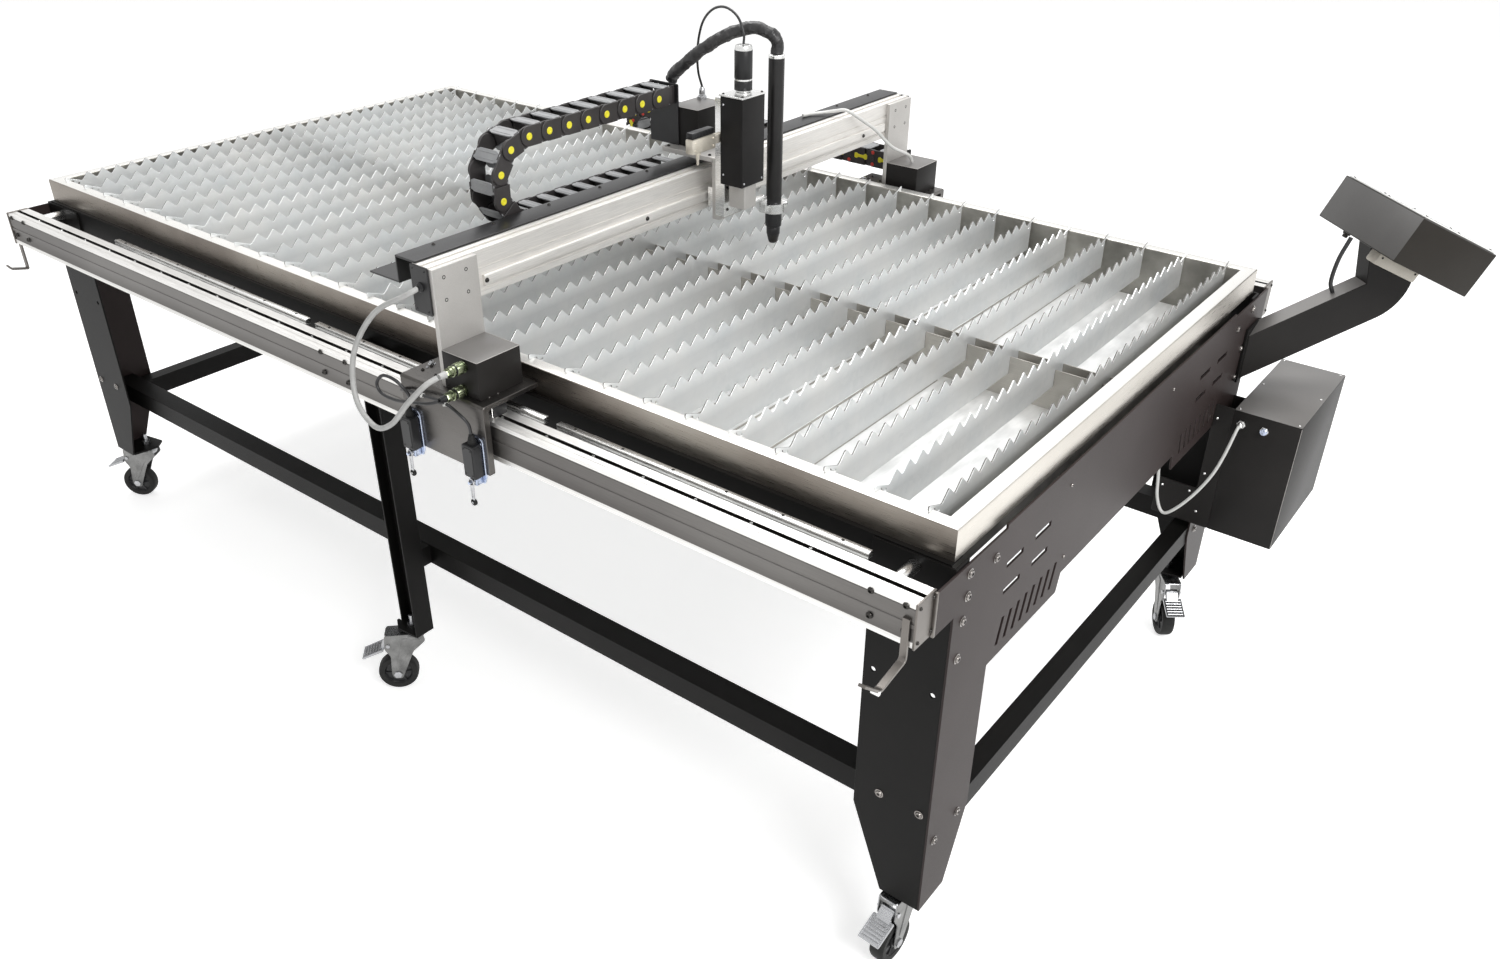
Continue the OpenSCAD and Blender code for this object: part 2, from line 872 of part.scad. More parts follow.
// Plate before the beam, bridge over it, and the upright that holds the height slide
module carriage_plate() {
  color("#9b9a98") {
    bar([362, -50, 1030], [plate_front, 30, 1160]);
    bar([225, -50, 1150], [362, 30, 1160]);
    bar([225, 30, 1150], [300, 80, 1160]);
    bar([plate_front, -62, 1045], [404, -4, 1290]);
    bar([plate_front, -30, 1150], [404, 20, 1160]);
    bar([plate_x0 + 7.4, -45, 1052], [362, 25, 1096]);
  }
  color("#d8d4c6") {
    bar([384, -160, 1196], [404, -88, 1226]);
    bar([386, -88, 1202], [400, -62, 1220]);
    translate([394, -134, 1170])
      cylinder(r = 4, h = 26, $fn = 24);
  }
  color("#151515")
  bar([384, -158, 1226], [402, -90, 1238]);
}

module carriage_motor_box() {
  color("#1b1b1b")
  difference() {
    bar([225, -20, 1160], [300, 78, 1240]);
    bar([227, -18, 1159], [298, 76, 1238]);
  }
  color("#1b1b1b")
  bar([172, -24, 1160], [250, -20, 1286]);
  color("silver") {
    translate([245, 62, 1240])
      cylinder(r = 11, h = 7, $fn = 6);
    translate([245, 62, 1247])
      cylinder(r = 7, h = 19, $fn = 24);
  }
}

module z_housing() {
  color("#1d1c1c")
  difference() {
    bar([404, -75, 1120], [460, -2, 1296]);
    bar([406, -73, 1119], [458, -4, 1290]);
  }
  color("#a5a4a2")
  bar([402, -77, 1296], [462, 0, 1300]);
}

module z_motor() {
  r = z_motor_d / 2;
  color("#161616")
  translate([433, -38, 1306])
    cylinder(r = r, h = 76);
  color("#cfcfcd") {
    translate([433, -38, 1300])
      cylinder(r = r - 4, h = 6);
    translate([433, -38, 1382])
      cylinder(r = r - 1, h = 10);
    translate([433, -38, 1060])
      cylinder(r = 4, h = 230, $fn = 24);
  }
}

module carriage_cord() {
  color("#1a1a1a")
  cord(motor_cord, 5, [0.2, 1, 0]);
}

// Block on the screw inside the height slide, and the clamp that carries the torch
module torch_holder() {
  color("#b6b5b2") {
    difference() {
      bar([412, -58, 1070], [454, -18, 1190]);
      translate([433, -38, 1050])
        cylinder(r = 4.5, h = 160, $fn = 24);
    }
    bar([412, -18, 1071], [446, -12, 1100]);
    bar([430, -18, 1071], [446, 30, 1077]);
    bar([430, 24, 1040], [446, 30, 1071]);
    difference() {
      translate([torch_x, torch_y, 1034])
        cylinder(r = torch_d / 2 + 6, h = 20);
      translate([torch_x, torch_y, 1030])
        cylinder(r = torch_d / 2, h = 30);
    }
    bar([430, 30, 1040], [446, 41, 1054]);
    bar([434, 82, 1036], [446, 104, 1052]);
  }
}

module torch() {
  r = torch_d / 2;
  color("#161515")
  translate([torch_x, torch_y, 0])
    rotate_extrude()
      polygon([[0, 966], [9, 966], [r - 3, 984], [r - 2, 1001], [r + 1, 1004], [r + 1, 1031],
               [r, 1033], [r, 1358], [r - 2, 1360], [0, 1360]]);
}

module torch_lead() {
  color("#1b1b1b")
  cord(lead_route, 26, [0.4, -0.9, 0]);
}

at_table() water_pan();
at_table() pan_drain();
at_table() slat_divider();
at_table() slats();
at_table() side_beams();
at_table() cross_members();
at_table() end_panels();
at_table() corner_legs();
at_table() middle_legs();
at_table() stretchers();
at_table() caster_mounts();
at_table() guide_rails();
at_table() gear_racks();
at_table() rail_brackets();
at_table() frame_bolts();
at_table() control_box();
at_table() console_arm();
at_table() console_box();
at_table() x_chain_lower();
at_table() table_cords();
at_table() gantry_beam();
at_table() gantry_end_plates();
at_table() rail_carriages();
at_table() gantry_motor_boxes();
at_table() motor_connectors();
at_table() limit_switches();
at_table() y_chain_lower();
at_table() x_chain_upper();
at_table() gantry_cords();
at_table() switch_lever(switch_x[0]);  // switch_lever_left
at_table() switch_lever(switch_x[1]);  // switch_lever_right
at_table() y_chain_bend();
at_table() x_chain_bend();
at_table() carriage_plate();
at_table() carriage_motor_box();
at_table() z_housing();
at_table() z_motor();
at_table() y_chain_upper();
at_table() carriage_cord();
at_table() torch_holder();
at_table() torch();
at_table() torch_lead();
at_table() on_caster(0) fork();  // caster_1_fork
at_table() on_caster(1) fork();  // caster_2_fork
at_table() on_caster(2) fork();  // caster_3_fork
at_table() on_caster(3) fork();  // caster_4_fork
at_table() on_caster(4) fork();  // caster_5_fork
at_table() on_caster(5) fork();  // caster_6_fork
at_table() on_caster(0) wheel();  // caster_1_wheel
at_table() on_caster(1) wheel();  // caster_2_wheel
at_table() on_caster(2) wheel();  // caster_3_wheel
at_table() on_caster(3) wheel();  // caster_4_wheel
at_table() on_caster(4) wheel();  // caster_5_wheel
at_table() on_caster(5) wheel();  // caster_6_wheel
at_table() on_caster(0) pedal();  // caster_1_pedal
at_table() on_caster(1) pedal();  // caster_2_pedal
at_table() on_caster(2) pedal();  // caster_3_pedal
at_table() on_caster(3) pedal();  // caster_4_pedal
at_table() on_caster(4) pedal();  // caster_5_pedal
at_table() on_caster(5) pedal();  // caster_6_pedal
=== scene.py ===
"""CNC plasma table: materials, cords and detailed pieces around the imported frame."""
import itertools
import math
import random

import bmesh
import bpy
from mathutils import Matrix, Vector, noise


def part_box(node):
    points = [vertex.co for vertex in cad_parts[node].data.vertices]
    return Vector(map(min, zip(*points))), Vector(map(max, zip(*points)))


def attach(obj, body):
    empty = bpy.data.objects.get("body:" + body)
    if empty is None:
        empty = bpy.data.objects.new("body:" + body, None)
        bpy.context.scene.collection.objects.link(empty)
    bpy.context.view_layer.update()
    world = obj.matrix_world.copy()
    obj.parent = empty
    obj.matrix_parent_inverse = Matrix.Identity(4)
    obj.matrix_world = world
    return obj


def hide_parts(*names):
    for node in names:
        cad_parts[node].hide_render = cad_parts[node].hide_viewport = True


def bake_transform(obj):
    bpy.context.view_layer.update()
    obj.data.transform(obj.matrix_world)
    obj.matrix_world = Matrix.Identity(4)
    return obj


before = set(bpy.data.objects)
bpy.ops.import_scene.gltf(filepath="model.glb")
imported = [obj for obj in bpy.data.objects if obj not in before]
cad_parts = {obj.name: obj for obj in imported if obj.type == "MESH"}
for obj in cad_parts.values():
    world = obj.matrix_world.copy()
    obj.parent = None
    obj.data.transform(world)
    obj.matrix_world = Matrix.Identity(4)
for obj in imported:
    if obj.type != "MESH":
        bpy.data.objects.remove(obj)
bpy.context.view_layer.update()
random.seed(7)

# Lengths are millimetres about the middle of the pan; place() turns them into the frame's metres
MM = 0.001
PAN_LOW, PAN_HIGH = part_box("water_pan")
MID = Vector(((PAN_LOW.x + PAN_HIGH.x) / 2, (PAN_LOW.y + PAN_HIGH.y) / 2, 0))
TO_FRAME = Matrix.Translation(MID) @ Matrix.Scale(MM, 4)


def place(point):
    return TO_FRAME @ Vector(point)


def put(name, data):
    """A new object in the scene."""
    made = bpy.data.objects.new(name, data)
    bpy.context.scene.collection.objects.link(made)
    return made


# Camera
CAMERA_AT = (1941.3, -1992.1, 1883.1)
CAMERA_AZIMUTH = 37.137
CAMERA_ELEVATION = 30.838
CAMERA_ROLL = 0.697
CAMERA_LENS = 29.357
SENSOR_WIDTH = 36


def make_camera():
    a, e, roll = (math.radians(x) for x in (CAMERA_AZIMUTH, CAMERA_ELEVATION, CAMERA_ROLL))
    forward = Vector((-math.sin(a) * math.cos(e), math.cos(a) * math.cos(e), -math.sin(e)))
    level = Vector((math.cos(a), math.sin(a), 0))
    right = level * math.cos(roll) + level.cross(forward) * math.sin(roll)
    turn = Matrix((right, right.cross(forward), -forward)).transposed().to_4x4()
    data = bpy.data.cameras.new("view")
    data.lens = CAMERA_LENS
    data.sensor_width = SENSOR_WIDTH
    camera = put("view", data)
    camera.matrix_world = Matrix.Translation(place(CAMERA_AT)) @ turn
    bpy.context.scene.camera = camera


make_camera()


# Materials
class Nodes:
    """A material's node tree, with short calls for the nodes that the surfaces share."""

    def __init__(self, name):
        self.material = bpy.data.materials.new(name)
        self.material.use_nodes = True
        self.tree = self.material.node_tree
        self.shader = self.tree.nodes["Principled BSDF"]
        self.where = self.tree.nodes.new("ShaderNodeTexCoord").outputs["Object"]

    def new(self, kind, **values):
        node = self.tree.nodes.new("ShaderNode" + kind)
        for key, value in values.items():
            if key in node.inputs:
                node.inputs[key].default_value = value
            else:
                setattr(node, key, value)
        return node

    def link(self, a, b):
        self.tree.links.new(a, b)

    def noise(self, scale, stretch=(1, 1, 1), detail=3.0):
        stretched = self.new("Mapping", Scale=stretch)
        self.link(self.where, stretched.inputs["Vector"])
        node = self.new("TexNoise", Scale=scale, Detail=detail)
        self.link(stretched.outputs["Vector"], node.inputs["Vector"])
        return node.outputs["Fac"]

    def ramp(self, value, low, high, start=0.3, end=0.7):
        node = self.new("MapRange", **{"From Min": start, "From Max": end, "To Min": low,
                                       "To Max": high})
        self.link(value, node.inputs["Value"])
        return node.outputs["Result"]

    def blend(self, factor, one, two):
        node = self.new("Mix", data_type="RGBA")
        self.link(factor, node.inputs["Factor"])
        for socket, colour in ((node.inputs[6], one), (node.inputs[7], two)):
            if isinstance(colour, bpy.types.NodeSocket):
                self.link(colour, socket)
            else:
                socket.default_value = (*colour, 1)
        return node.outputs[2]

    def shade(self, value, colour):
        """The base colour, lighter or darker by a value."""
        node = self.new("HueSaturation")
        self.link(value, node.inputs["Value"])
        self.link(colour, node.inputs["Color"])
        self.link(node.outputs["Color"], self.shader.inputs["Base Color"])

    def bump(self, height, strength, distance):
        node = self.new("Bump", Strength=strength, Distance=distance)
        self.link(height, node.inputs["Height"])
        if self.shader.inputs["Normal"].links:
            self.link(self.shader.inputs["Normal"].links[0].from_socket, node.inputs["Normal"])
        self.link(node.outputs["Normal"], self.shader.inputs["Normal"])


def surface(name, one, two, rough, metallic=0.0, stretch=(1, 1, 1), grain=900, patch=6,
            bump=0.05, depth=0.0002, coat=0.0, level=0.5):
    """Two shades mottled in patches, with a fine grain that may be stretched into brush marks."""
    n = Nodes(name)
    patches = n.ramp(n.noise(patch, detail=5.0), 0, 1)
    fine = n.noise(grain, stretch)
    n.shade(n.ramp(fine, 0.9, 1.1), n.blend(patches, one, two))
    n.link(n.ramp(fine, *rough), n.shader.inputs["Roughness"])
    n.shader.inputs["Metallic"].default_value = metallic
    n.shader.inputs["Coat Weight"].default_value = coat
    n.shader.inputs["Specular IOR Level"].default_value = level
    n.bump(fine, bump, depth)
    return n.material


def powder(name, one, two, rough, patch=6, level=0.15):
    return surface(name, one, two, rough, grain=1800, patch=patch, bump=0.12, depth=0.0004,
                   level=level)


def plastic(name, one, two, rough, patch=30, bump=0.06, level=0.4):
    return surface(name, one, two, rough, grain=2400, patch=patch, bump=bump, level=level)


def jacket(name, one, two, rough):
    return surface(name, one, two, rough, grain=1500, patch=60)


BRUSH_X = (0.02, 1, 1)
BRUSH_Y = (1, 0.02, 1)
# Lit and shaded copies of the pan's stainless: a darker one with painted shade for the ±Y sides,
# lighter ones with painted light for the ±X sides and the rim's top
SHADED_STEEL_X = surface("stainless_along", (0.17, 0.145, 0.125), (0.38, 0.35, 0.31), (0.24, 0.42), 1,
                  BRUSH_X, 1400, 2.5, 0.08)
LIT_STEEL_Y = surface("stainless_across", (0.56, 0.53, 0.48), (0.70, 0.67, 0.62), (0.24, 0.42), 1,
                  BRUSH_Y, 1400, 2.5, 0.08)
LIT_RIM_STEEL = surface("stainless_rim", (0.78, 0.77, 0.74), (0.86, 0.85, 0.82), (0.26, 0.4), 0.8,
                    grain=1400, patch=3)
FLOOR_STEEL = surface("stainless_floor", (0.74, 0.745, 0.74), (0.86, 0.86, 0.85), (0.28, 0.42),
                      0.45, (1, 0.3, 1), 60, 4, 0.03)
WALL_STEEL = surface("stainless_wall", (0.13, 0.125, 0.11), (0.37, 0.36, 0.33), (0.28, 0.44),
                     0.7, (0.3, 0.3, 1), 40, 9, 0.03, 0.0003)
DIVIDER = surface("divider_steel", (0.33, 0.315, 0.285), (0.48, 0.46, 0.42), (0.3, 0.44), 0.5,
                  BRUSH_X, 1200, 8, 0.06)
TOOTH_EDGE = surface("cut_edge", (0.05, 0.048, 0.045), (0.16, 0.15, 0.14), (0.4, 0.55), 0.5,
                     patch=30)
POWDER = powder("powder_coat", (0.005, 0.0048, 0.0045), (0.008, 0.0074, 0.007), (0.40, 0.52),
                level=0.12)
# A warmer, lighter copy of the black powder coat for the end panels: painted light of the +X side
WARM_LIT_POWDER = powder("powder_coat_warm", (0.026, 0.0185, 0.0175), (0.034, 0.025, 0.024),
                      (0.36, 0.48))
CONSOLE_COAT = powder("console_coat", (0.024, 0.021, 0.018), (0.032, 0.029, 0.025), (0.38, 0.5))
BOX_POWDER = powder("powder_coat_box", (0.013, 0.012, 0.0115), (0.019, 0.0175, 0.0165),
                    (0.42, 0.54))
HOUSING = powder("housing_coat", (0.012, 0.0115, 0.0115), (0.017, 0.016, 0.016), (0.38, 0.5), 10)
# A lighter copy of the black coat for upward faces: painted light from above
LIT_TOP_COAT = surface("powder_coat_top", (0.13, 0.125, 0.12), (0.19, 0.182, 0.175), (0.32, 0.44),
                grain=1600, patch=4, bump=0.1, depth=0.0004)
# A lighter copy of the console coat for its upturned face: painted light
CONSOLE_LIT_FACE = surface("powder_coat_end", (0.075, 0.073, 0.071), (0.11, 0.107, 0.104),
                      (0.32, 0.44), grain=1600, patch=4, bump=0.1, depth=0.0004, level=0.3)
EXTRUDED = surface("extrusion", (0.72, 0.71, 0.69), (0.82, 0.81, 0.79), (0.28, 0.42), 0.85,
                   BRUSH_X, 1200, 3, 0.06)
EXTRUDED_Y = surface("extrusion_across", (0.72, 0.70, 0.67), (0.80, 0.78, 0.75), (0.42, 0.55),
                     0.75, BRUSH_Y, 1200, 3, 0.06)
# A dark copy of the extrusion for the rails' upright faces: painted shade
SHADED_WEB = surface("extrusion_web", (0.125, 0.118, 0.113), (0.175, 0.168, 0.16), (0.34, 0.46), 0.9,
              BRUSH_X, 1200, 2, 0.06)
PLATE = surface("anodised_plate", (0.48, 0.465, 0.445), (0.56, 0.545, 0.525), (0.5, 0.62), 0.7,
                grain=1500, patch=9)
BRIGHT = surface("bright_steel", (0.74, 0.74, 0.73), (0.84, 0.84, 0.83), (0.18, 0.32), 1,
                 BRUSH_X, 1200, 5)
ZINC = surface("zinc", (0.38, 0.385, 0.395), (0.50, 0.505, 0.52), (0.2, 0.34), 1, grain=700,
               patch=14, bump=0.08)
# A darker copy of the zinc for the fork's side faces: painted shade
SHADED_CHEEK = surface("zinc_cheek", (0.13, 0.13, 0.128), (0.27, 0.27, 0.265), (0.26, 0.4), 0.85,
                grain=700, patch=30, bump=0.06)
NICKEL = surface("nickel", (0.12, 0.11, 0.105), (0.30, 0.28, 0.265), (0.16, 0.28), 1, grain=700,
                 patch=60, bump=0.04)
OXIDE = surface("black_oxide", (0.020, 0.018, 0.016), (0.045, 0.042, 0.038), (0.28, 0.4), 0.6,
                grain=1400, patch=80)
RUBBER = surface("rubber", (0.008, 0.008, 0.008), (0.015, 0.015, 0.014), (0.55, 0.75),
                 grain=1600, patch=50, bump=0.15, level=0.3)
PLASTIC = plastic("black_plastic", (0.010, 0.010, 0.011), (0.016, 0.016, 0.017), (0.30, 0.42))
LINK = plastic("link_plastic", (0.030, 0.027, 0.027), (0.044, 0.040, 0.040), (0.34, 0.46))
BAR_PLASTIC = plastic("grey_plastic", (0.22, 0.225, 0.23), (0.30, 0.305, 0.31), (0.3, 0.4),
                      bump=0.05, level=0.5)
YELLOW = surface("yellow_plastic", (0.80, 0.72, 0.02), (0.88, 0.80, 0.05), (0.3, 0.4),
                 grain=2000, patch=60)
RED = surface("red_plastic", (0.55, 0.03, 0.02), (0.65, 0.05, 0.03), (0.3, 0.4), grain=2000,
              patch=60)
OFF_WHITE = surface("off_white_plastic", (0.62, 0.58, 0.50), (0.70, 0.66, 0.58), (0.4, 0.5),
                    grain=1500, patch=30)
OLIVE = surface("olive_shell", (0.12, 0.15, 0.08), (0.30, 0.33, 0.22), (0.18, 0.3), 1, patch=70)
BRACKET = surface("bracket_plate", (0.070, 0.065, 0.061), (0.13, 0.123, 0.116), (0.26, 0.4), 0.9,
                  BRUSH_X, 1100, 4, 0.06)
COVER = surface("cover_plate", (0.14, 0.128, 0.118), (0.22, 0.205, 0.19), (0.32, 0.44), 0.9,
                grain=1300, patch=12)
# Light strips laid along box edges: painted highlights
EDGE_HIGHLIGHT = surface("worn_edge", (0.42, 0.40, 0.38), (0.50, 0.48, 0.46), (0.3, 0.4))
BLUE_ZINC = surface("blue_zinc", (0.40, 0.46, 0.60), (0.56, 0.61, 0.73), (0.2, 0.34), 1,
                    grain=700, patch=50, bump=0.08)
SLEEVE_TUBE = surface("torch_sleeve", (0.010, 0.0095, 0.0095), (0.016, 0.015, 0.015), (0.3, 0.4),
                      grain=1600, patch=20, bump=0.08, level=0.4)
SHIELD = surface("torch_shield", (0.008, 0.008, 0.008), (0.016, 0.014, 0.012), (0.35, 0.5),
                 grain=1400, patch=60)
SCREEN = surface("dark_screen", (0.012, 0.013, 0.015), (0.016, 0.017, 0.019), (0.08, 0.12),
                 grain=1200, patch=8, bump=0.01, coat=0.5)
CREAM = surface("cream_plate", (0.62, 0.57, 0.48), (0.74, 0.69, 0.60), (0.3, 0.42), 0.5,
                grain=1100, patch=40)
TIE = surface("cable_tie", (0.80, 0.80, 0.78), (0.88, 0.88, 0.86), (0.35, 0.45), grain=1500)
GREY_JACKET = jacket("grey_jacket", (0.42, 0.42, 0.41), (0.50, 0.50, 0.49), (0.38, 0.5))
PALE_JACKET = jacket("pale_jacket", (0.62, 0.62, 0.60), (0.70, 0.70, 0.68), (0.36, 0.46))
BLACK_JACKET = jacket("black_jacket", (0.012, 0.012, 0.013), (0.020, 0.020, 0.021), (0.34, 0.46))


def galvanised():
    """Zinc spangle: cells of different shade and gloss, with painted shade on the face just under
    the teeth and painted light at the top and towards the foot.
    """
    n = Nodes("galvanised")
    cells = n.new("TexVoronoi", Scale=85.0)
    n.link(n.where, cells.inputs["Vector"])
    tone = n.new("SeparateColor")
    n.link(cells.outputs["Color"], tone.inputs["Color"])
    clear = n.blend(tone.outputs["Red"], (0.79, 0.815, 0.825), (0.84, 0.86, 0.865))
    hazy = n.blend(n.ramp(n.noise(7, detail=6.0), 0, 1), clear, (0.92, 0.92, 0.905))
    height = n.new("SeparateXYZ")
    n.link(n.where, height.inputs["Vector"])
    # Painted light and shade by height: darker just under the teeth, lighter at the top and towards
    # the foot
    painted_light_by_height = n.new("Math", operation="MAXIMUM")
    n.link(n.ramp(height.outputs["Z"], 0, 1, 0.912, 0.936), painted_light_by_height.inputs[0])
    n.link(n.ramp(height.outputs["Z"], 0.9, 0, 0.84, 0.895), painted_light_by_height.inputs[1])
    n.shade(n.ramp(painted_light_by_height.outputs["Value"], 0.72, 1.0, 0, 1), hazy)
    n.link(n.ramp(tone.outputs["Green"], 0.30, 0.46, 0, 1), n.shader.inputs["Roughness"])
    n.shader.inputs["Metallic"].default_value = 0.5
    n.bump(n.noise(500), 0.05, 0.0002)
    return n.material


def sleeve():
    """Creased black wrap of the torch lead."""
    n = Nodes("lead_sleeve")
    crease = n.noise(60, detail=6.0)
    n.link(n.blend(n.ramp(crease, 0, 1), (0.012, 0.012, 0.013), (0.035, 0.034, 0.034)),
           n.shader.inputs["Base Color"])
    n.link(n.ramp(crease, 0.26, 0.5), n.shader.inputs["Roughness"])
    n.bump(crease, 0.6, 0.004)
    n.bump(n.noise(1200), 0.1, 0.0004)
    return n.material


GALVANISED = galvanised()
SLEEVE = sleeve()


# Cords: name, diameter, jacket, body, node, stiffness and route. The routes repeat the points of
# the solids that the cords stand for
CORDS = [
    ("loop_cable", 10, GREY_JACKET, "gantry", "gantry_cords", "medium",
     [(315, -782.5, 1092), (304, -802, 1082), (236, -824, 1038), (184, -842, 955),
      (197, -862, 876), (255, -872, 843), (312, -876, 868), (356, -870, 918), (392, -856, 958),
      (402, -834.5, 969)]),
    ("left_switch_cable", 6, BLACK_JACKET, "gantry", "gantry_cords", "medium",
     [(395, -833.5, 921.5), (381, -846, 918), (345, -849, 910), (300, -851, 901),
      (262, -852, 903), (250, -850, 919), (265, -845, 936), (290, -838, 930), (305, -828, 905),
      (290, -818, 882), (267, -804, 873), (263, -801, 857.5)]),
    ("right_switch_cable", 6, BLACK_JACKET, "gantry", "gantry_cords", "medium",
     [(240, -794, 880), (262, -798, 887), (309, -800, 893), (372, -805, 900), (414, -808, 892),
      (428, -803, 876), (430, -801, 857)]),
    ("far_cable", 8, PALE_JACKET, "gantry", "gantry_cords", "medium",
     [(262, 415, 1138.6), (268, 440, 1138.6), (285, 462, 1140), (307, 480, 1144),
      (330, 494, 1147), (348, 507, 1136), (360, 535, 1116), (371, 572, 1090), (384, 630, 1040),
      (396, 694, 1008), (398, 712, 987)]),
    ("box_cable", 7, PALE_JACKET, "table", "table_cords", "medium",
     [(1376, 494, 643), (1375, 483, 637), (1364, 476, 575), (1349, 470, 521), (1322, 460, 465),
      (1290, 450, 420), (1268, 446, 408), (1249, 450, 440), (1238, 460, 495), (1225, 450, 600),
      (1210, 440, 700), (1200, 430, 817.5)]),
    ("console_cable", 9, BLACK_JACKET, "table", "table_cords", "medium",
     [(1435, 772, 880), (1428, 765, 905), (1431, 768, 955), (1442, 779, 1003)]),
    ("motor_cable", 5, BLACK_JACKET, "carriage", "carriage_cord", "stiff",
     [(245, 62, 1266.5), (243, 52, 1300), (252, 40, 1350), (282, 20, 1405), (330, -6, 1440),
      (378, -25, 1452), (415, -34, 1440), (433, -38, 1412), (433, -38, 1392.5)]),
]
LEAD_ROUTE = [(214, -2, 1287), (228, -4, 1304), (270, -8, 1336), (312, 4, 1368), (355, 22, 1394),
              (390, 38, 1406), (422, 52, 1402), (440, 62, 1384), (440, 62, 1360.5)]
LEAD_DIAMETER = 26


def smooth(route, steps=6):
    """Points of a smooth curve through a route's points."""
    p = [Vector(x) for x in route]
    p = [2 * p[0] - p[1], *p, 2 * p[-1] - p[-2]]
    line = []
    for a, b, c, d in zip(p, p[1:], p[2:], p[3:]):
        for k in range(steps):
            t = k / steps
            line.append(0.5 * (2 * b + (c - a) * t + (2 * a - 5 * b + 4 * c - d) * t ** 2
                               + (3 * b - a - 3 * c + d) * t ** 3))
    return [*line, p[-2]]


for name, diameter, material, body, node, stiffness, route in CORDS:
    line = [place(x) for x in smooth(route)]
    data = bpy.data.curves.new(name, "CURVE")
    data.dimensions = "3D"
    data.bevel_depth = diameter / 2 * MM
    data.bevel_resolution = 5
    data.use_fill_caps = True
    spline = data.splines.new("POLY")
    spline.points.add(len(line) - 1)
    for point, co in zip(spline.points, line):
        point.co = (*co, 1)
    spline.use_smooth = True
    data.materials.append(material)
    cord = put(name, data)
    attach(cord, body)
    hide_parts(node)


# Mesh building
SHARP_DEGREES = 35
BEVEL_DEGREES = 40
WELD_REACH = 0.00001


def quadratic(a, b, c, steps):
    """Points of an arc from a to c that bends towards b."""
    return [tuple(a * (1 - t) ** 2 + b * 2 * t * (1 - t) + c * t * t)
            for t in (k / steps for k in range(steps + 1))]


def rounded(outline, radius, steps=3):
    """The outline with each corner turned into a short arc."""
    made = []
    for i, corner in enumerate(outline):
        here = Vector(corner)
        before = Vector(outline[i - 1]) - here
        after = Vector(outline[(i + 1) % len(outline)]) - here
        reach = min(radius, before.length * 0.45, after.length * 0.45)
        made += quadratic(here + before.normalized() * reach, here,
                          here + after.normalized() * reach, steps)
    return made


def rect(u0, v0, u1, v1, radius=0, steps=3):
    """A rectangle's outline, with its corners rounded if a radius is given."""
    outline = [(u0, v0), (u1, v0), (u1, v1), (u0, v1)]
    return rounded(outline, radius, steps) if radius else outline


def arc(at, r, degrees):
    """Points about a centre at the given angles."""
    return [(at[0] + r * math.cos(math.radians(a)), at[1] + r * math.sin(math.radians(a)))
            for a in degrees]


def circle(at, r, steps=16):
    return arc(at, r, [360 * k / steps for k in range(steps)])


def mirrored(half):
    """A lathe profile from its upper half."""
    return [(r, -h) for r, h in half] + half[::-1]


def turned(outline, clockwise):
    """The outline in the asked direction."""
    area = sum(a[0] * b[1] - b[0] * a[1] for a, b in zip(outline, outline[1:] + outline[:1]))
    return outline[::-1] if (area < 0) != clockwise else outline


def rotation(degrees, axis):
    return Matrix.Rotation(math.radians(degrees), 4, axis)


# Columns of an outline's own axes: across, up and outward
PLANES = {
    "x": Matrix(((0, 0, 1), (1, 0, 0), (0, 1, 0))).to_4x4(),
    "y": Matrix(((1, 0, 0), (0, 0, -1), (0, 1, 0))).to_4x4(),
    "z": Matrix.Identity(4),
}
AXES = {"x": Vector((1, 0, 0)), "y": Vector((0, 1, 0)), "z": Vector((0, 0, 1))}
OUT = {-1: "-y", 1: "y"}


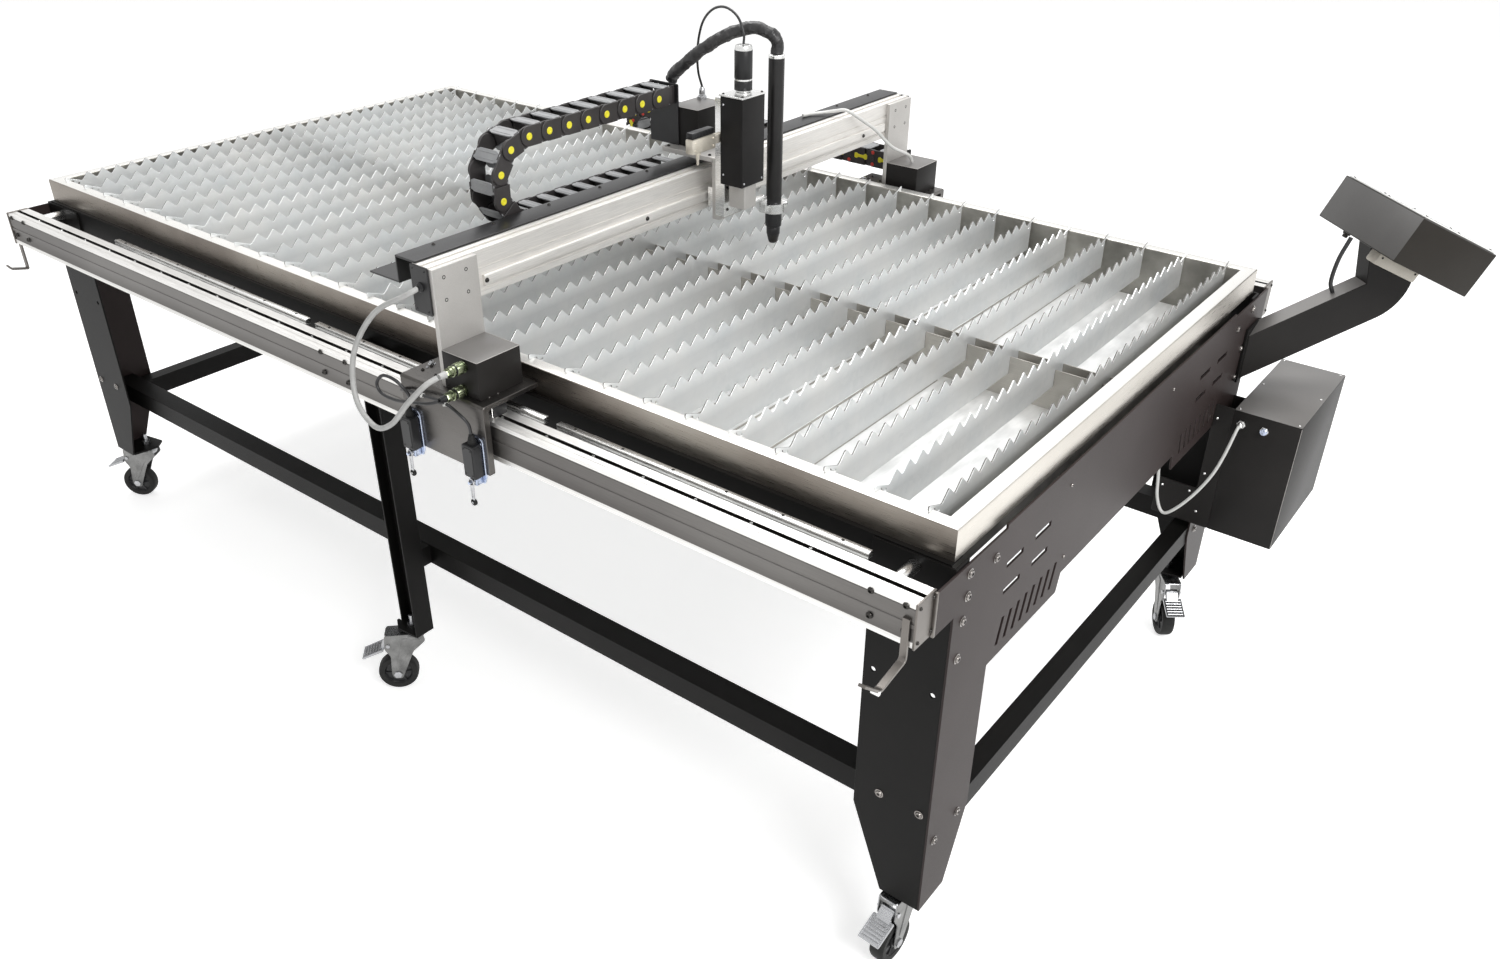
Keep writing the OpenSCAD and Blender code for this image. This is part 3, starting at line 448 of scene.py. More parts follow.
class Build:
    """One piece in the making: solids in millimetres about the middle of the pan."""

    def __init__(self, material):
        self.bm = bmesh.new()
        self.materials = [material]
        self.index = 0
        self.turn = Matrix.Identity(4)

    def paint(self, material):
        if material not in self.materials:
            self.materials.append(material)
        self.index = self.materials.index(material)
        return self

    def take(self, mesh, matrix=Matrix.Identity(4)):
        mesh.transform(self.turn @ matrix)
        if (self.turn @ matrix).determinant() < 0:
            mesh.flip_normals()
        first = len(self.bm.faces)
        self.bm.from_mesh(mesh)
        self.bm.faces.ensure_lookup_table()
        for face in self.bm.faces[first:]:
            face.material_index = self.index
        bpy.data.meshes.remove(mesh)

    def shape(self, bm, matrix=Matrix.Identity(4)):
        mesh = bpy.data.meshes.new("shape")
        bm.to_mesh(mesh)
        bm.free()
        self.take(mesh, matrix)

    def block(self, a, b, edge=0.6):
        """A box between two corners, with its edges rounded."""
        bm = bmesh.new()
        a, b = Vector(a), Vector(b)
        size = [abs(s) for s in b - a]
        bmesh.ops.create_cube(bm, size=1, matrix=Matrix.Translation((a + b) / 2)
                              @ Matrix.Diagonal((*size, 1)))
        bmesh.ops.bevel(bm, geom=bm.edges[:], offset=min(edge, *(s * 0.4 for s in size)),
                        segments=2, profile=0.5, affect="EDGES")
        self.shape(bm)

    def lathe(self, profile, at, axis="z", steps=24):
        """Turns (radius, height) points about an axis through at; a ring closes on itself."""
        bm = bmesh.new()
        rings = []
        for r, h in profile:
            turn = circle((0, 0), r, steps) if r else [(0, 0)]
            rings.append([bm.verts.new((x, y, h)) for x, y in turn])
        if profile[0][0] > 0 and profile[-1][0] > 0:
            rings.append(rings[0])
        for a, b in zip(rings, rings[1:]):
            for k in range(steps):
                quad = [a[k % len(a)], a[(k + 1) % len(a)], b[(k + 1) % len(b)], b[k % len(b)]]
                corners = list(dict.fromkeys(quad))
                if len(corners) > 2:
                    bm.faces.new(corners)
        bmesh.ops.recalc_face_normals(bm, faces=bm.faces[:])
        direction = AXES[axis[-1]] * (-1 if axis[0] == "-" else 1)
        stand = direction.to_track_quat("Z", "Y").to_matrix().to_4x4()
        self.shape(bm, Matrix.Translation(at) @ stand)

    def solid(self, profile, at, axis="z", steps=24):
        """A lathed profile that is closed flat at both ends."""
        self.lathe([(0, profile[0][1]), *profile, (0, profile[-1][1])], at, axis, steps)

    def plate(self, outline, axis, at, thick, holes=(), edge=0.4):
        """An outline, from at along axis, with its rims rounded."""
        at, thick = min(at, at + thick), abs(thick)
        curve = bpy.data.curves.new("outline", "CURVE")
        curve.dimensions = "2D"
        curve.fill_mode = "BOTH"
        for i, loop in enumerate((outline, *holes)):
            loop = turned(loop, i > 0)
            spline = curve.splines.new("POLY")
            spline.points.add(len(loop) - 1)
            for point, (u, v) in zip(spline.points, loop):
                point.co = (u, v, 0, 1)
            spline.use_cyclic_u = True
        edge = min(edge, thick * 0.4)
        curve.extrude = thick / 2 - edge
        curve.bevel_depth = edge
        curve.bevel_resolution = 0
        curve.offset = -edge
        drawn = bpy.data.objects.new("outline", curve)
        mesh = bpy.data.meshes.new_from_object(drawn)
        bpy.data.objects.remove(drawn)
        bpy.data.curves.remove(curve)
        self.take(mesh, Matrix.Translation(AXES[axis] * (at + thick / 2)) @ PLANES[axis])

    def sweep(self, line, radius=0.5, sides=6):
        """A round rod along a line of points."""
        bm = bmesh.new()
        line = [Vector(x) for x in line]
        side = Vector((0.3, 0.5, 0.8))
        rings = []
        for i, p in enumerate(line):
            ahead = (line[min(i + 1, len(line) - 1)] - line[max(i - 1, 0)]).normalized()
            side = (side - ahead * side.dot(ahead)).normalized()
            other = ahead.cross(side)
            rings.append([bm.verts.new(p + side * x + other * y)
                          for x, y in circle((0, 0), radius, sides)])
        for a, b in zip(rings, rings[1:]):
            for k in range(sides):
                bm.faces.new((a[k], a[(k + 1) % sides], b[(k + 1) % sides], b[k]))
        bm.faces.new(rings[0][::-1])
        bm.faces.new(rings[-1])
        self.shape(bm)

    def bolt(self, at, axis, r, h, washer=False):
        """Button head with its socket."""
        foot = 0
        if washer:
            foot = 1.2
            self.solid([(r * 1.35, 0), (r * 1.35, 0.8), (r * 1.2, foot)], at, axis, 20)
        deep = foot + 0.4 * h
        self.solid([(r, foot), (r, foot + 0.25 * h), (r * 0.86, foot + 0.6 * h), (r * 0.6, h),
                    (r * 0.46, h), (r * 0.44, deep)], at, axis, 18)
        # Heads other than black oxide get a dark lining in the socket: painted shade in the recess
        if r > 3 and self.materials[0] != OXIDE:
            kept = self.index
            self.paint(OXIDE).lathe([(0, deep + 0.1), (r * 0.43, deep + 0.1), (r * 0.43, h - 0.2),
                                     (r * 0.41, h - 0.2), (r * 0.41, deep + 0.2),
                                     (0, deep + 0.2)], at, axis, 6)
            self.index = kept

    def bolts(self, xs, ys, zs, axis, r, h, washer=False):
        """A bolt at every mix of the given x, y and z."""
        for at in itertools.product(xs, ys, zs):
            self.bolt(at, axis, r, h, washer)

    def tint(self, material, test):
        """Gives the faces that pass a test of normal and centre another material."""
        self.paint(material)
        self.bm.normal_update()
        for face in self.bm.faces:
            if test(face.normal, face.calc_center_median()):
                face.material_index = self.index

    def done(self, name, body, slot, *replaced):
        """Puts the finished piece in the scene, on its body."""
        mesh = bpy.data.meshes.new(name)
        self.bm.to_mesh(mesh)
        self.bm.free()
        mesh.transform(TO_FRAME)
        mesh.shade_smooth()
        mesh.set_sharp_from_angle(angle=math.radians(SHARP_DEGREES))
        for material in self.materials:
            mesh.materials.append(material)
        piece = put(name, mesh)
        if body:
            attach(piece, body)
        if replaced:
            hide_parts(*replaced)
        return piece


def dress(material, *nodes, edge=0.6):
    """Finishes CAD nodes: their material, and edges that catch the light."""
    for node in nodes:
        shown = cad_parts[node]
        shown.data.materials.clear()
        shown.data.materials.append(material)
        weld = shown.modifiers.new("weld", "WELD")
        weld.merge_threshold = WELD_REACH
        bevel = shown.modifiers.new("edges", "BEVEL")
        bevel.width = edge * MM
        bevel.segments = 2
        bevel.limit_method = "ANGLE"
        bevel.angle_limit = math.radians(BEVEL_DEGREES)
        shown.modifiers.new("normals", "WEIGHTED_NORMAL")


dress(POWDER, "side_beams", "cross_members", "stretchers", "middle_legs", "corner_legs")
# The end panels take the warmer, lighter copy of the black coat: painted light
dress(WARM_LIT_POWDER, "end_panels")
dress(DIVIDER, "slat_divider", edge=0.3)
dress(PLASTIC, "pan_drain")
dress(ZINC, "caster_mounts")


# Slats
SLAT_COUNT = 28
SLAT_PITCH = 92
SLAT_T = 2.5
SLAT_FOOT = 868
SLAT_TEETH = 31
SLAT_HALF = 620
TAB = 20
RIM_Z = 935
TOOTH_RUN = 1200
TOOTH_TOP = 950
TOOTH_LOW = 930
WORN_SHARE = 0.75


def slat_outline():
    pitch = TOOTH_RUN / SLAT_TEETH
    left = -TOOTH_RUN / 2
    teeth = []
    for k in range(SLAT_TEETH):
        teeth += [(left + k * pitch, TOOTH_LOW), (left + (k + 0.5) * pitch, TOOTH_TOP)]
    tab = [(SLAT_HALF + TAB, RIM_Z + 11), (SLAT_HALF + TAB, RIM_Z), (SLAT_HALF, RIM_Z),
           (SLAT_HALF, SLAT_FOOT)]
    return rounded([*((-y, z) for y, z in tab[::-1]), *teeth, (-left, TOOTH_LOW), *tab], 4.5)


def make_slats():
    outline = slat_outline()
    holes = [circle((side * 609, 925), 3, 10) for side in (-1, 1)]
    for i in range(SLAT_COUNT):
        x = (i - (SLAT_COUNT - 1) / 2) * SLAT_PITCH + random.uniform(-0.3, 0.3)
        build = Build(GALVANISED)
        build.plate(outline, "x", x - SLAT_T / 2, SLAT_T, holes, 0.3)
        worn = random.random() < WORN_SHARE
        build.tint(TOOTH_EDGE, lambda n, c: worn and abs(n.x) < 0.3 and c.z > TOOTH_LOW)
        build.done(f"slat_{i + 1:02d}", "table", "galvanised", "slats")


make_slats()


# Water pan
PAN_L = 1300
PAN_W = 655
TUB_L = 1271
TUB_W = 626
TUB_FLOOR = 818
SKIRT_LOW = 881
SHEET = 2
DRAIN = (-1150, -500)
FOLD = 3


def folded_section():
    """Inner wall, rim and skirt of the pan: (distance out from the tub, height) of one sheet."""
    rim = PAN_L - TUB_L
    outer, inner = [], []
    for x, start in ((FOLD, 180), (rim - FOLD, 90)):
        turn = range(start, start - 91, -30)
        outer += arc((x, RIM_Z - FOLD), FOLD, turn)
        inner += arc((x, RIM_Z - FOLD), FOLD - SHEET, turn)
    return [(0, TUB_FLOOR), *outer, (rim, SKIRT_LOW), (rim - SHEET, SKIRT_LOW), *inner[::-1],
            (SHEET, TUB_FLOOR)]


def make_pan():
    section = folded_section()
    build = Build(SHADED_STEEL_X)
    corners = [(-1, -1), (1, -1), (1, 1), (-1, 1)]
    for i, ends in enumerate(zip(corners, corners[1:] + corners[:1])):
        # The ±Y sides take the darker copy of the stainless (painted shade), the ±X sides the
        # lighter one (painted light)
        build.paint(LIT_STEEL_Y if i % 2 else SHADED_STEEL_X)
        bm = bmesh.new()
        rings = [[bm.verts.new((sx * (TUB_L + d), sy * (TUB_W + d), z)) for d, z in section]
                 for sx, sy in ends]
        for k in range(len(section)):
            n = (k + 1) % len(section)
            bm.faces.new((rings[0][k], rings[1][k], rings[1][n], rings[0][n]))
        bmesh.ops.recalc_face_normals(bm, faces=bm.faces[:])
        if any(f.normal.z < 0 and f.calc_center_median().z > RIM_Z - 0.2 for f in bm.faces):
            bmesh.ops.reverse_faces(bm, faces=bm.faces[:])
        build.shape(bm)
    build.tint(WALL_STEEL, lambda n, c: abs(c.x) < TUB_L + 3 and abs(c.y) < TUB_W + 3)
    # The rim's top takes a lighter copy of the stainless: painted light
    build.tint(LIT_RIM_STEEL, lambda n, c: c.z > RIM_Z - 0.5)
    build.paint(FLOOR_STEEL).plate(
        rect(-TUB_L - SHEET, -TUB_W - SHEET, TUB_L + SHEET, TUB_W + SHEET), "z", TUB_FLOOR, SHEET,
        [circle(DRAIN, 13, 24)], 0.2)
    for i in range(SLAT_COUNT - 1):
        x = (i - SLAT_COUNT / 2 + 1) * SLAT_PITCH
        ridge = [(x + side * dx, TUB_FLOOR + z) for side, dx, z in
                 ((-1, 4, 1.5), (-1, 4, 3.2), (-1, 2, 5), (1, 2, 5), (1, 4, 3.2), (1, 4, 1.5))]
        for side in (-1, 1):
            build.plate(ridge, "y", side * 40, side * (TUB_W - 70), (), 0.8)
    # The ridges' +X sides take the darker divider grey: a painted shadow line along each ridge
    build.tint(DIVIDER, lambda n, c: n.x > 0.4 and TUB_FLOOR + 2 < c.z < TUB_FLOOR + 6)
    build.paint(SHADED_STEEL_X)
    for x, side in itertools.product((-405, 405), (-1, 1)):
        y = side * (PAN_W - 0.1)
        build.sweep([(x, y, SKIRT_LOW + 1), (x, y, RIM_Z - 5)], 0.9)
    build.done("pan_shell", "table", "stainless", "water_pan")


make_pan()


# Bolts
PANEL_FACE = 1315
PANEL_BOLT = (6.5, 4.5, True)


def make_frame_bolts():
    high = [(545, 836), (630, 854), (630, 813), (637, 771), (641, 702), (566, 320), (643, 315)]
    by_arm = [(545, 836), (630, 854), (602, 771), (602, 702), (566, 320), (643, 315)]
    build = Build(NICKEL)
    for y, z in by_arm:
        build.bolt((PANEL_FACE, y, z), "x", *PANEL_BOLT)
    for y, z in high:
        build.bolt((PANEL_FACE, -y, z), "x", *PANEL_BOLT)
        build.bolts([-PANEL_FACE], (-y, y), [z], "-x", *PANEL_BOLT)
    for y, z in ((-279, 839), (-261, 686), (178, 838)):
        build.bolt((PANEL_FACE, y, z), "x", 3.6, 2.6)
        build.bolt((-PANEL_FACE, y, z), "-x", 3.6, 2.6)
    for x, z in ((1218, 383), (1295, 382)):
        for side in (-1, 1):
            build.bolts((-x, x), [side * 668], [z], OUT[side], 6.2, 3.6, True)
    build.done("frame_bolt_heads", "table", "bolt_black", "frame_bolts")


make_frame_bolts()


# Rails: screws along the slots, bolts at the ends and at the joint, racks in lengths
RAIL_Y = 720
RAIL_OUT = 770
RAIL_TOP = 874
RAIL_LOW = 798
RAIL_END = 1306


def make_rails():
    face = [(50, 76), (50, 68), (49.2, 67.4), (49.2, 66.2), (50, 65.6), (50, 45), (48.6, 44),
            (48.6, 41), (50, 40), (50, 34), (48, 33), (48, 13), (50, 10), (50, 0)]
    top = [(0, 76), (20, 76), (20, 68), (29, 68), (29, 76), (39, 76), (39, 75.2), (41, 75.2),
           (41, 76)]
    build = Build(EXTRUDED)
    for side in (-1, 1):
        outline, hole = ([(side * (RAIL_Y + y), RAIL_LOW + z) for y, z in line]
                         for line in ([(0, 0), *top, *face], rect(7, 8, 43, 58)))
        build.plate(outline, "x", -RAIL_END, 2 * RAIL_END, [hole])
    # Upright faces of the web take the dark copy of the extrusion: painted shade
    build.tint(SHADED_WEB, lambda n, c: abs(n.y) > 0.5 and RAIL_LOW + 9 < c.z < RAIL_TOP - 9)
    # The slot's walls and floor are painted black: painted shade in the recess
    build.tint(OXIDE, lambda n, c: abs(abs(c.y) - RAIL_Y - 24.5) < 4.6 and c.z < RAIL_TOP - 1)
    build.done("rail_profiles", "table", "extrusion", "guide_rails")


make_rails()


def make_rail_trim():
    build = Build(OXIDE)
    for side in (-1, 1):
        build.paint(OXIDE).bolts((-1290, -1232, -38, 38, 1232, 1290), [side * (RAIL_OUT - 0.2)],
                                 (822, 866), OUT[side], 5.5, 3.4)
        build.paint(BRIGHT).bolts(range(-1200, 1201, 110), [side * (RAIL_Y + 24.5)],
                                  [RAIL_TOP - 8], "z", 3.8, 7.4)
        for end, axis in ((1310, "x"), (-1310, "-x")):
            build.paint(OXIDE).bolts([end], (side * 728, side * 764), (806, 866), axis, 3.2, 2.2)
    build.done("rail_bolts", "table", "bolt_black")
    racks = Build(BRIGHT)
    pitch = 4.7
    for side, (start, end) in itertools.product((-1, 1), ((-905, -165), (-134, 520), (551, 1190))):
        racks.paint(BRIGHT).block((start, side * 700, 869), (end, side * 712, 880), 0.5)
        racks.block((start, side * 712, 866), (end, side * 720, 870), 0.3)
        outline = [(start + 1, 869.4)]
        for k in range(int((end - start) / pitch)):
            at = start + 1 + k * pitch
            outline += [(at + 0.6, 869.4), (at + 1.6, 866.2), (at + 3.1, 866.2), (at + 4.1, 869.4)]
        outline += [(end - 1, 869.4), (end - 1, 870), (start + 1, 870)]
        racks.plate(outline, "y", side * 701, side * 10, (), 0)
        racks.paint(OXIDE).bolts(range(start + 40, end, 110), [side * 706], [879.6], "z", 3, 1.6)
    racks.done("rack_lengths", "table", "rack_steel", "gear_racks")


make_rail_trim()


# Casters
CASTERS = [((1262, -612), -93), ((0, -690), -135), ((-1262, -612), -146), ((1262, 612), -53),
           ((0, 690), 60), ((-1262, 612), 120)]
TRAIL = 46
AXLE_Z = 45
PIN_AT = (58, 0, 128)


def caster(number, at, angle):
    turn = Matrix.Translation((*at, 0)) @ rotation(angle, "Z")
    axle = (TRAIL, 0, AXLE_Z)
    fork = Build(ZINC)
    fork.turn = turn
    fork.plate(rect(-22, -20, 64, 20, 9, 4), "z", 152.6, 3.4, [circle((0, 0), 6.4, 20)], 0.8)
    fork.lathe([(6.4, 142), (13, 140), (23, 141.5), (25, 145), (25, 150), (23, 153.2),
                (6.4, 153.2)], (0, 0, 0), "z", 32)
    leg = rounded([(-22, 156), (-26, 136), (4, 108), (TRAIL - 15, 46), (TRAIL - 9, 33),
                   (TRAIL + 9, 33), (TRAIL + 14, 46), (TRAIL + 10, 98), (67, 116), (64, 156)],
                  6, 4)
    rib = rounded([(-14, 146), (-16, 137), (12, 112), (TRAIL - 8, 62), (TRAIL + 2, 62),
                   (26, 146)], 5)
    for side in (-1, 1):
        fork.plate(leg, "y", side * 18.4 - 1.5, 3, (), 0.8)
        fork.plate(rib, "y", side * 20.4 - 0.9, 1.8, (), 0.7)
    across = turn.to_3x3() @ AXES["y"]
    # The fork's side faces take the darker zinc: painted shade
    fork.tint(SHADED_CHEEK, lambda n, c: abs(n.dot(across)) > 0.7)
    fork.paint(ZINC).lathe(mirrored([(0, 23.6), (7.5, 23.6), (9.5, 22.4), (9.5, 20),
                                     (5.9, 19.6)]), axle, "y", 6)
    fork.lathe(mirrored([(0, 22.4), (4.6, 22.4), (5, 21.6), (5, 20), (2.95, 19.4)]), PIN_AT, "y",
               16)
    fork.done(f"caster_fork_{number}", f"caster_{number}", "zinc", f"caster_{number}_fork")
    wheel = Build(RUBBER)
    wheel.turn = turn
    wheel.lathe(mirrored([(31, 13.5), (38, 14.6), (42.2, 14.4), (44.4, 11), (45, 6)]), axle, "y",
                48)
    wheel.paint(PLASTIC).lathe([(6.1, -15), (11, -15), (13, -13.6), (14, -9), (28, -8),
                                (31.2, -12.6), (31.2, 12.6), (28, 8), (14, 9), (13, 13.6),
                                (11, 15), (6.1, 15)], axle, "y", 36)
    hexagon = range(0, 360, 60)
    for inner, outer in zip(arc((TRAIL, AXLE_Z), 12, hexagon), arc((TRAIL, AXLE_Z), 29, hexagon)):
        for y in (-9.5, 9.5):
            wheel.sweep([(x, y, z) for x, z in (inner, outer)], 2)
    wheel.done(f"caster_wheel_{number}", f"caster_{number}_wheel", "wheel_rubber",
               f"caster_{number}_wheel")
    pedal = Build(ZINC)
    pedal.turn = turn
    pedal.lathe(mirrored([(3.1, 13.9), (6.6, 13.9), (7, 13.2)]), PIN_AT, "y", 20)
    cam = rounded([(54, 133), (54, 124), (62, 120), (80, 106), (82, 113), (64, 133)], 2.5)
    pedal.plate(cam, "y", -13.6, 27.2, (), 0.8)
    tread = rounded([(72, 119), (70, 113.5), (117, 95), (119.4, 98.8)], 1.5)
    pedal.plate(tread, "y", -21.6, 43.2, (), 1.2)
    for k in range(6):
        t = 0.16 + k * 0.14
        pedal.sweep([(72 + t * 47.4, y, 119 - t * 20.2) for y in (-18, 18)], 1.5, 8)
    for y in (-20.5, 20.5):
        pedal.sweep([(74, y, 118.2), (119, y, 99)], 1.3, 8)
    pedal.done(f"caster_pedal_{number}", f"caster_{number}_pedal", "zinc",
               f"caster_{number}_pedal")


for i, (at, angle) in enumerate(CASTERS):
    caster(i + 1, at, angle)


def lug(pin, to, h, turns):
    """Side of a link from its pin to a straight edge, round about the pin if it turns there."""
    r = h / 2
    if not turns:
        return rect(pin, -r, to, r, 2)
    away = 1 if to > pin else -1
    return [*arc((pin, 0), r, [90 + away * a for a in range(0, 181, 15)]), (to, -r), (to, r)]


def chain_link(build, pitch, w, h, front, back, pin_side, bones):
    """One link from the origin along +X: it laps outside the link before, inside the next."""
    wall = 3
    neck = h / 2 + 2
    lap = w / 2 - wall
    for s in (-1, 1):
        face = s * w / 2
        build.paint(LINK)
        build.plate(lug(0, pitch - neck, h, front), "y", face, -s * wall, (), 0.8)
        build.plate(lug(pitch, neck, h, back), "y", s * (lap - 0.4), -s * wall, (), 0.6)
        build.plate(rect(neck, 1 - h / 2, pitch - neck, h / 2 - 1), "y",
                    s * (w / 2 - wall - 0.2) - wall + 0.3, 2 * wall - 0.6, (), 0.3)
        if front:
            build.paint(YELLOW if s == pin_side and not bones else LINK)
            build.solid([(6.9, -0.4), (6.9, 0.7), (6.2, 1.2), (3.2, 1.2), (2.6, 0.7)],
                        (0, face, 0), OUT[s])
        if bones and s == pin_side:
            half = pitch * 0.27
            quarter = [(half, 6), (half - 7, 8), (half - 12, 4)]
            side = quarter + [(-x, z) for x, z in quarter[::-1]]
            bone = [(pitch / 2 + x, z) for x, z in side + [(x, -z) for x, z in side[::-1]]]
            build.paint(YELLOW).plate(rounded(bone, 3), "y", face + s, -s * 4.4, (), 0.5)
            for z in (-h * 0.34, h * 0.34):
                build.paint(RED).solid([(5, -0.4), (5, 0.7), (4.2, 1.1)], (0, face, z), OUT[s],
                                       18)
    low, high = 0.33 * h, pitch - 0.33 * h
    corner = [(high - 3, lap), (high - 3, lap - 4), (high, lap - 9)]
    edge = [(x, -y) for x, y in corner] + corner[::-1]
    bar = rounded(edge + [(low + high - x, y) for x, y in edge[::-1]], 2, 2)
    for z, groove in ((0.2 - h / 2, 0.4 - h / 2), (h / 2 - 3.2, h / 2 - 0.4)):
        build.paint(BAR_PLASTIC).plate(bar, "z", z, 3, (), 0.8)
        for x in (low + 6, high - 6):
            build.sweep([(x, y, groove) for y in (9 - lap, lap - 9)], 0.9)


def chain_straight(name, node, count, pitch, size, turn, bodies, weights, side, bones):
    """A run of links."""
    for i in range(count):
        build = Build(LINK)
        build.turn = turn @ Matrix.Translation((i * pitch, 0, 0))
        front = i > 0 or weights[0] > 0
        back = i < count - 1 or weights[1] < 1
        chain_link(build, pitch, *size, front, back, side, bones)
        link = build.done(f"{name}_link_{i + 1:02d}", None, "chain_plastic", node)
        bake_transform(link)


def chain_turn(name, node, count, r, size, turn, bones):
    """The half circle of links between two runs; it rides on the body of its own node."""
    step = 180 / count
    pitch = 2 * r * math.sin(math.radians(step / 2))
    out = Matrix.Translation((r * math.cos(math.radians(step / 2)), 0, 0))
    for i in range(count):
        build = Build(LINK)
        lean = rotation(90 + (i + 0.5) * step, "Y")
        build.turn = turn @ lean @ out @ rotation(90, "Y") @ Matrix.Translation((-pitch / 2, 0, 0))
        chain_link(build, pitch, *size, True, True, -1, bones)
        build.done(f"{name}_link_{i + 1:02d}", node, "chain_plastic", node)


def chain(name, node, bend, r, count, size, angle, bodies, lower, upper, bones):
    """A drag chain: its runs, each of some links of a pitch, and the half circle between."""
    bend = Vector(bend)
    ahead = rotation(angle, "Z")
    start = bend + ahead @ Vector((lower[0] * lower[1], 0, -r))
    chain_straight(f"{name}_lower", f"{node}_lower", *lower, size,
                   Matrix.Translation(start) @ rotation(angle + 180, "Z"), bodies, (0, 0.5), 1,
                   bones)
    chain_straight(f"{name}_upper", f"{node}_upper", *upper, size,
                   Matrix.Translation(bend + Vector((0, 0, r))) @ ahead, bodies, (0.5, 1), -1,
                   bones)
    chain_turn(f"{name}_bend", f"{node}_bend", count, r, size, Matrix.Translation(bend) @ ahead,
               bones)


chain("cross_chain", "y_chain", (210, -440, 1185), 80, 5, (70, 38), 90, ("gantry", "carriage"),
      (9, 49), (8, 52), False)
chain("long_chain", "x_chain", (-600, 835, 886), 57, 3, (66, 46), 0, ("table", "gantry"),
      (8, 75), (12, 75), True)


# Gantry
BEAM_END = 775
PLATE_X = 335
BRACKET_TOP = 910
MOTOR_BOX_SIDE = 776
MOTOR_BOX_TOP = 983


def make_beam():
    groove = [(335, 1057), (333, 1057), (333, 1062), (335, 1062), (335, 1097), (333, 1097),
              (333, 1102), (335, 1102)]
    back = [(630 - x, z) for x, z in groove[::-1]]
    profile = [(295, 1045), (335, 1045), *groove, (335, 1130), (323, 1130), (323, 1125),
               (315, 1125), (315, 1130), (295, 1130), *back]
    build = Build(EXTRUDED_Y)
    build.plate(profile, "y", -BEAM_END, 2 * BEAM_END, (), 0.5)
    lip = rounded([(335, 1064), (340.5, 1064), (342, 1066), (342, 1082), (340.5, 1084),
                   (335, 1084)], 1, 2)
    build.plate(lip, "y", -660, 1320)
    build.done("beam_extrusion", "gantry", "extrusion", "gantry_beam")
    dark = Build(PLASTIC)
    dark.plate(rect(250, 1130.1, 303, 1134, 1.2), "y", -BEAM_END, 2 * BEAM_END, (), 0.6)
    shelf = [(253, 1130), (250, 1130), (250, 1086), (172, 1086), (172, 1083), (253, 1083)]
    dark.plate(shelf, "y", -BEAM_END, 20 + BEAM_END, (), 0.5)
    dark.plate(rect(250, 1083, 253, 1130), "y", 20, BEAM_END - 20, (), 0.5)
    dark.paint(OXIDE).bolts([262], range(-700, 701, 140), [1134], "z", 3.4, 2.2)
    dark.done("beam_cover_and_shelf", "gantry", "black_powder_coat")
    bolts = Build(OXIDE)
    bolts.bolts([342], (-656, -231, 198, 562), [1074], "x", 4.6, 3)
    bolts.done("beam_bolts", "gantry", "plate")


make_beam()


def make_end_plates():
    build = Build(PLATE)
    for side in (-1, 1):
        low, high = sorted((side * 675, side * BEAM_END))
        build.paint(PLATE).plate(rect(low, BRACKET_TOP, high, 1128, 1.6), "x", PLATE_X, 10, (),
                                 0.7)
        build.paint(OXIDE)
        for y, z in itertools.product((702, 751), (1068, 1109)):
            build.lathe([(3.6, 0), (3.6, 0.25), (2.3, 0.3), (2.1, -1.2), (0, -1.2)],
                        (PLATE_X + 10, side * y, z), "x", 14)
        cap = rect(292, 1043, 337, 1130, 3)
        build.paint(PLASTIC).plate(cap, "y", side * BEAM_END, side * 4, (), 0.9)
        build.bolts((299, 330), [side * (BEAM_END + 3.6)], (1050, 1123), OUT[side], 2.6, 1.2)
    build.solid([(9, 0), (9, 2), (7.5, 3.5), (7.5, 4.5), (5.2, 5.5), (5.2, 8)],
                (315, -(BEAM_END + 3.8), 1092), "-y")
    build.done("gantry_plates", "gantry", "plate", "gantry_end_plates")


make_end_plates()


def make_brackets():
    """L brackets with a small radius inside the corner, and the blocks that ride on the rails."""
    build = Build(BRACKET)
    for side in (-1, 1):
        section = [(side * y, z) for y, z in
                   ((790, 775), (790, 906), (786, BRACKET_TOP), (660, BRACKET_TOP), (660, 901),
                    (772, 901), (776.5, 896.5), (776.5, 775))]
        build.paint(BRACKET).plate(rounded(section, 1.2, 2), "x", 235, 220, (), 0.9)
        for x in (245, 385):
            build.paint(BRIGHT).block((x, side * 728, 874.4), (x + 60, side * 762, 901), 2.2)
            for end in (x - 2.5, x + 57.5):
                build.paint(PLASTIC).block((end, side * 729.5, 876), (end + 5, side * 760.5, 899),
                                           1.2)
            build.paint(OXIDE).bolts((x + 12, x + 48), (side * 735, side * 755), [BRACKET_TOP],
                                     "z", 3.6, 3)
        build.paint(ZINC).bolt((249, side * 727, BRACKET_TOP), "z", 5.4, 6, True)
        build.bolt((254, side * 742, BRACKET_TOP), "z", 2.8, 2)
    build.done("gantry_brackets", "gantry", "plate", "rail_carriages")
    arm = Build(POWDER)
    arm.plate(rect(790, 918, 868, 968, 4), "x", 300, 4,
              [circle((815, 943), 4, 12), circle((850, 943), 4, 12)], 0.6)
    arm.plate(rect(284, 860, 304, 968, 3), "y", 790, 6, (), 0.7)
    arm.bolts([294], [796], (875, 905, 950), "y", 4.5, 3)
    arm.done("chain_arm", "gantry", "plate")


make_brackets()


